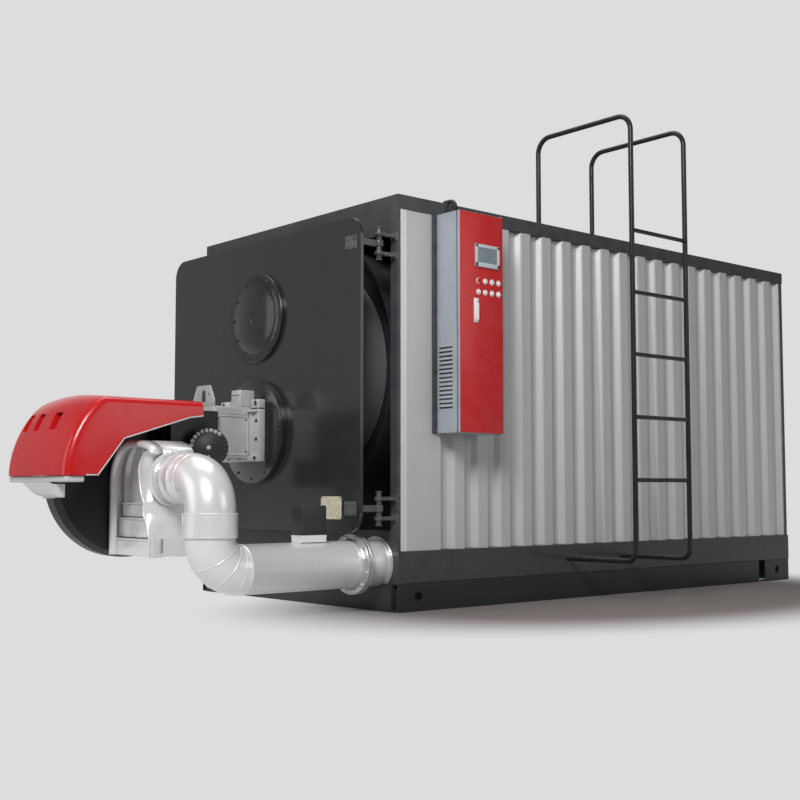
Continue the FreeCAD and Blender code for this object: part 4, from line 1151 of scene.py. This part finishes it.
def makeDamper():
    # actuator on its stand
    d = damperSizes
    ax, w, (far, near), (low, high) = d["x"], d["half"], d["ahead"], d["up"]
    pipeTop = ductSizes["z"] + ductSizes["radius"]
    bm = bmesh.new()
    addSlab(bm, (ax - w, ax + w), (far, near), (pipeTop - 0.002, low), 0.002, 1)
    addSlab(bm, (ax - w + 0.001, ax + w - 0.001), (far + 0.004, near - 0.004), (low - 0.008, low), 0.0015, 1)
    newPiece("damperBracket", bm, ["whitePaint"], "boiler_door", ["damper_bracket"])
    bm = bmesh.new()
    addSlab(bm, (ax - w, ax + w), (far, near), (low, high), 0.005, 3)
    addSlab(bm, (ax - w - 0.0005, ax + w + 0.0005), (far + 0.0005, near - 0.0005),
            (d["seam"], d["seam"] + 0.002), 0.0, 1, 1)
    for p in (near + 0.015, far - 0.015):
        for dx in (-0.042, 0.042):
            addBolt(bm, at(ax + dx, p, high), (0, 0, 1), 0.007, 1, False)
    addRod(bm, at(ax, (far + near) / 2, pipeTop - 0.01), at(ax, (far + near) / 2, low), 0.01, 16, 0, 1)
    newPiece("damperActuator", bm, ["mouldedBlack", "boltDark"], "boiler_door",
             ["damper_actuator"], 35)


cabinetSizes = {"y0": front + 0.322, "y1": front + 0.707, "z0": 1.105, "z1": 2.51, "mount": 1.123,
                "outer": 1.304, "door": 1.335, "louvres": 15, "louvreLow": 1.272, "louvrePitch": 0.0271,
                "louvreRise": 0.0075, "sheet": 0.003, "lip": 0.018, "pin": 1.321}


def makeCabinet():
    d = cabinetSizes
    y0, y1, z0, z1, m, o = d["y0"], d["y1"], d["z0"], d["z1"], d["mount"], d["outer"]
    t, lip = d["sheet"], d["lip"]
    bm = bmesh.new()
    walls = (((m, y0, z0), (o, y0 + t, z1)), ((m, y1 - t, z0), (o, y1, z1)), ((m, y0, z0), (m + t, y1, z1)),
             ((m, y0, z0), (o, y1, z0 + t)), ((m, y0, z1 - t), (o, y1, z1)))
    for low, high in walls:
        addBlock(bm, low, high, 0.0008, 1)
    # turned-in lips round the mouth, with the gasket in front of them
    lips = (((o - t, y0, z0), (o, y0 + lip, z1)), ((o - t, y1 - lip, z0), (o, y1, z1)),
            ((o - t, y0, z0), (o, y1, z0 + lip)), ((o - t, y0, z1 - lip), (o, y1, z1)))
    for low, high in lips:
        addBlock(bm, low, high, 0.0006, 1)
    for a, b, c, e in ((y0 + 0.004, y0 + 0.014, z0 + 0.004, z1 - 0.004),
                       (y1 - 0.014, y1 - 0.004, z0 + 0.05, z1 - 0.05),
                       (y0 + 0.004, y1 - 0.02, z0 + 0.004, z0 + 0.014),
                       (y0 + 0.004, y1 - 0.02, z1 - 0.014, z1 - 0.004)):
        addBlock(bm, (o - 0.0005, a, c), (o + 0.0015, b, e), 0.0005, 1, 1)
    # pressed louvres on both sides: a hood over a black strip, painted shade for the gap under it
    for sign, y in ((-1, y0), (1, y1)):
        for k in range(d["louvres"]):
            z = d["louvreLow"] + k * d["louvrePitch"]
            outline = [(m + 0.022, y, z), (m + 0.022, y + sign * d["louvreRise"], z - 0.001),
                       (m + 0.022, y, z + 0.014)]
            addPrism(bm, outline, (0.12, 0, 0), 0.0006, 1)
            low, high = sorted((y - sign * 0.0005, y + sign * 0.0006))
            addBlock(bm, (m + 0.022, low, z - 0.0115), (m + 0.142, high, z + 0.0005), 0.0, 1, 1)
    # rolled front corner edge that catches the light
    addSweep(bm, [(o - 0.004, y0 + 0.001, z0 + 0.003), (o - 0.004, y0 + 0.001, z1 - 0.003)], 0.0042, 8)
    # hinge leaves and pins
    ax, ay = d["pin"], y1 - 0.01
    for low, a, b in ((z0 - 0.004, z0 - 0.004, z0 + 0.04), (z1, z1 - 0.04, z1 + 0.004)):
        addBlock(bm, (o - 0.04, ay - 0.008, low), (ax + 0.008, y1, low + 0.004), 0.0012, 1, 2)
        addRod(bm, (ax, ay, a), (ax, ay, b), 0.006, 20, 0.0008, 2)
    newPiece("cabinetBody", bm, ["cabinetSilver", "blackRubberAndShadowFill", "zincPlate"], "casing",
             ["cabinet_body"], 35)
    # wall frame bolts and the plate inside with rows of terminals
    bm = bmesh.new()
    for z in (1.17, 1.5, 1.9, 2.3, 2.46):
        addBolt(bm, (d["mount"], y0 - 0.017, z), (1, 0, 0), 0.012, 1)
    addBlock(bm, (m + t, y0 + 0.03, z0 + 0.06), (m + 0.008, y1 - 0.03, z1 - 0.06), 0.001, 1)
    for z, high in ((1.25, 0.09), (1.5, 0.12), (1.78, 0.12), (2.08, 0.14)):
        addBlock(bm, (m + 0.008, y0 + 0.04, z - 0.03), (m + 0.016, y1 - 0.04, z - 0.012), 0.001, 1, 1)
        for k in range(6):
            ya = y0 + 0.05 + k * 0.048
            addBlock(bm, (m + 0.008, ya, z), (m + 0.06, ya + 0.04, z + high), 0.003, 2, 2)
    newPiece("cabinetInside", bm, ["zincPlate", "boltDark", "mouldedBlack"], "casing",
             angle=35)


panelSizes = {"screenLeft": 0.131, "screenTop": 2.31, "screen": (0.215, 0.146), "buttonFirst": 0.162,
              "buttonPitch": (0.06, 0.072), "buttonTop": 2.075, "buttonRadius": 0.019, "handleLeft": 0.12,
              "handleTop": 1.961, "handle": (0.04, 0.155)}


def makeCabinetDoor():
    # folded sheet: red front, silver turned-back edges
    low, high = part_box("cabinet_door_panel")
    bm = bmesh.new()
    addBlock(bm, (low[0], low[1], low[2]), (high[0] - 0.002, high[1], high[2]), 0.002, 2, 1)
    addBlock(bm, (high[0] - 0.0035, low[1] + 0.0015, low[2] + 0.0015),
             (high[0], high[1] - 0.0015, high[2] - 0.0015), 0.0014, 3)
    newPiece("cabinetDoor", bm, ["cabinetRed", "cabinetSilver"], "cabinet_door",
             ["cabinet_door_panel"])


def makeOperatorPanel():
    d = panelSizes
    face = cabinetSizes["door"]
    y0 = cabinetSizes["y0"]
    w, h = d["screen"]
    ya, zt = y0 + d["screenLeft"], d["screenTop"]
    bm = bmesh.new()
    bezel = 0.022
    addBlock(bm, (face - 0.001, ya, zt - h), (face + 0.008, ya + w, zt), 0.003, 2)
    for a, b, c, e in ((ya, ya + w, zt - bezel, zt), (ya, ya + w, zt - h, zt - h + bezel * 1.3),
                       (ya, ya + bezel, zt - h, zt), (ya + w - bezel, ya + w, zt - h, zt)):
        addBlock(bm, (face + 0.004, a, c), (face + 0.012, b, e), 0.003, 3)
    addBlock(bm, (face + 0.006, ya + bezel - 0.002, zt - h + bezel),
             (face + 0.0088, ya + w - bezel + 0.002, zt - bezel + 0.002), 0.0005, 1, 1)
    newPiece("operatorScreen", bm, ["screenFrame", "screenGlass"], "cabinet_door",
             ["operator_screen"])
    bm = bmesh.new()
    r = d["buttonRadius"]
    for row in range(2):
        for column in range(4):
            spot = Vector((face, y0 + d["buttonFirst"] + column * d["buttonPitch"][0],
                           d["buttonTop"] - row * d["buttonPitch"][1]))
            knob = row == 0 and column == 0
            addLathe(bm, spot, (1, 0, 0),
                     [(r, -0.001), (r, 0.003), (r - 0.002, 0.005), (r - 0.005, 0.005), (r - 0.005, 0.003)], 32)
            top = 0.0135 if knob else 0.0105
            cap = r - 0.0045 if knob else r - 0.006
            addLathe(bm, spot, (1, 0, 0),
                     [(cap, 0.002), (cap, top - 0.002), (cap - 0.002, top), (0, top + 0.0003)], 32,
                     1 if knob else 0)
    newPiece("pushButtons", bm, ["whitePaint", "hoodRed"], "cabinet_door", ["push_buttons"], 40)
    bm = bmesh.new()
    ya, zt = y0 + d["handleLeft"], d["handleTop"]
    w, h = d["handle"]
    addBlock(bm, (face - 0.001, ya, zt - h), (face + 0.007, ya + w, zt), 0.003, 2)
    addBlock(bm, (face + 0.006, ya + 0.008, zt - h + 0.012), (face + 0.021, ya + w - 0.008, zt - 0.03),
             0.005, 3)
    addLathe(bm, (face + 0.006, ya + w / 2, zt - 0.016), (1, 0, 0),
             [(0.010, 0), (0.010, 0.006), (0.008, 0.008), (0, 0.008)], 20)
    newPiece("doorHandle", bm, ["whitePaint"], "cabinet_door", ["door_handle"], 40)


conduitSizes = {"out": 0.045, "foot": 2.51, "top": 2.616, "bend": 0.045, "rib": 0.004,
                "radii": (0.0138, 0.0158), "inside": 0.06}


def makeConduit():
    # ribbed sleeve with a gland at the cabinet, over the roof edge
    d = conduitSizes
    x0, bend, top, rib = half + d["out"], d["bend"], d["top"], d["rib"]
    y = cabinetSizes["y0"] + (cabinetSizes["y1"] - cabinetSizes["y0"]) * 0.33
    zc = top - bend
    line = [Vector((x0, y, d["foot"] + rib * k)) for k in range(16) if d["foot"] + rib * k < zc]
    for k in range(13):
        a = math.pi / 2 * k / 12
        line.append(Vector((x0 - bend + bend * math.cos(a), y, zc + bend * math.sin(a))))
    x = x0 - bend
    while x > half - d["inside"] + rib:
        x -= rib
        line.append(Vector((x, y, top)))
    bm = bmesh.new()
    addSweep(bm, line, [d["radii"][k % 2] for k in range(len(line))], 20)
    addLathe(bm, (x0, y, d["foot"]), (0, 0, 1), [(0.0205, 0), (0.0205, 0.012), (0.017, 0.016)], 6)
    newPiece("cableConduit", bm, ["blackRubberAndShadowFill"], "casing", ["cable_conduit"], 50)


makeCamera()
makeStudio()
print("stage: studio ready")
finishes = {name: makeFinish(name, **values) for name, values in finishLooks.items()}
dressCasing()
print("stage: casing dressed")
makeHighlightStrips()
makeLadderDetail()
makeHingeDetail()
makeDoorDetail()
print("stage: ladder, hinges and door fittings")
makeDisc()
makeHead()
makeLiftingPlate()
makeServo()
makeHood()
makeTray()
makeFan()
makeRegulator()
print("stage: burner")
makeIntakeBox()
makeDuct()
makeDamper()
print("stage: duct")
makeCabinet()
makeCabinetDoor()
makeOperatorPanel()
makeConduit()
print("stage: cabinet")
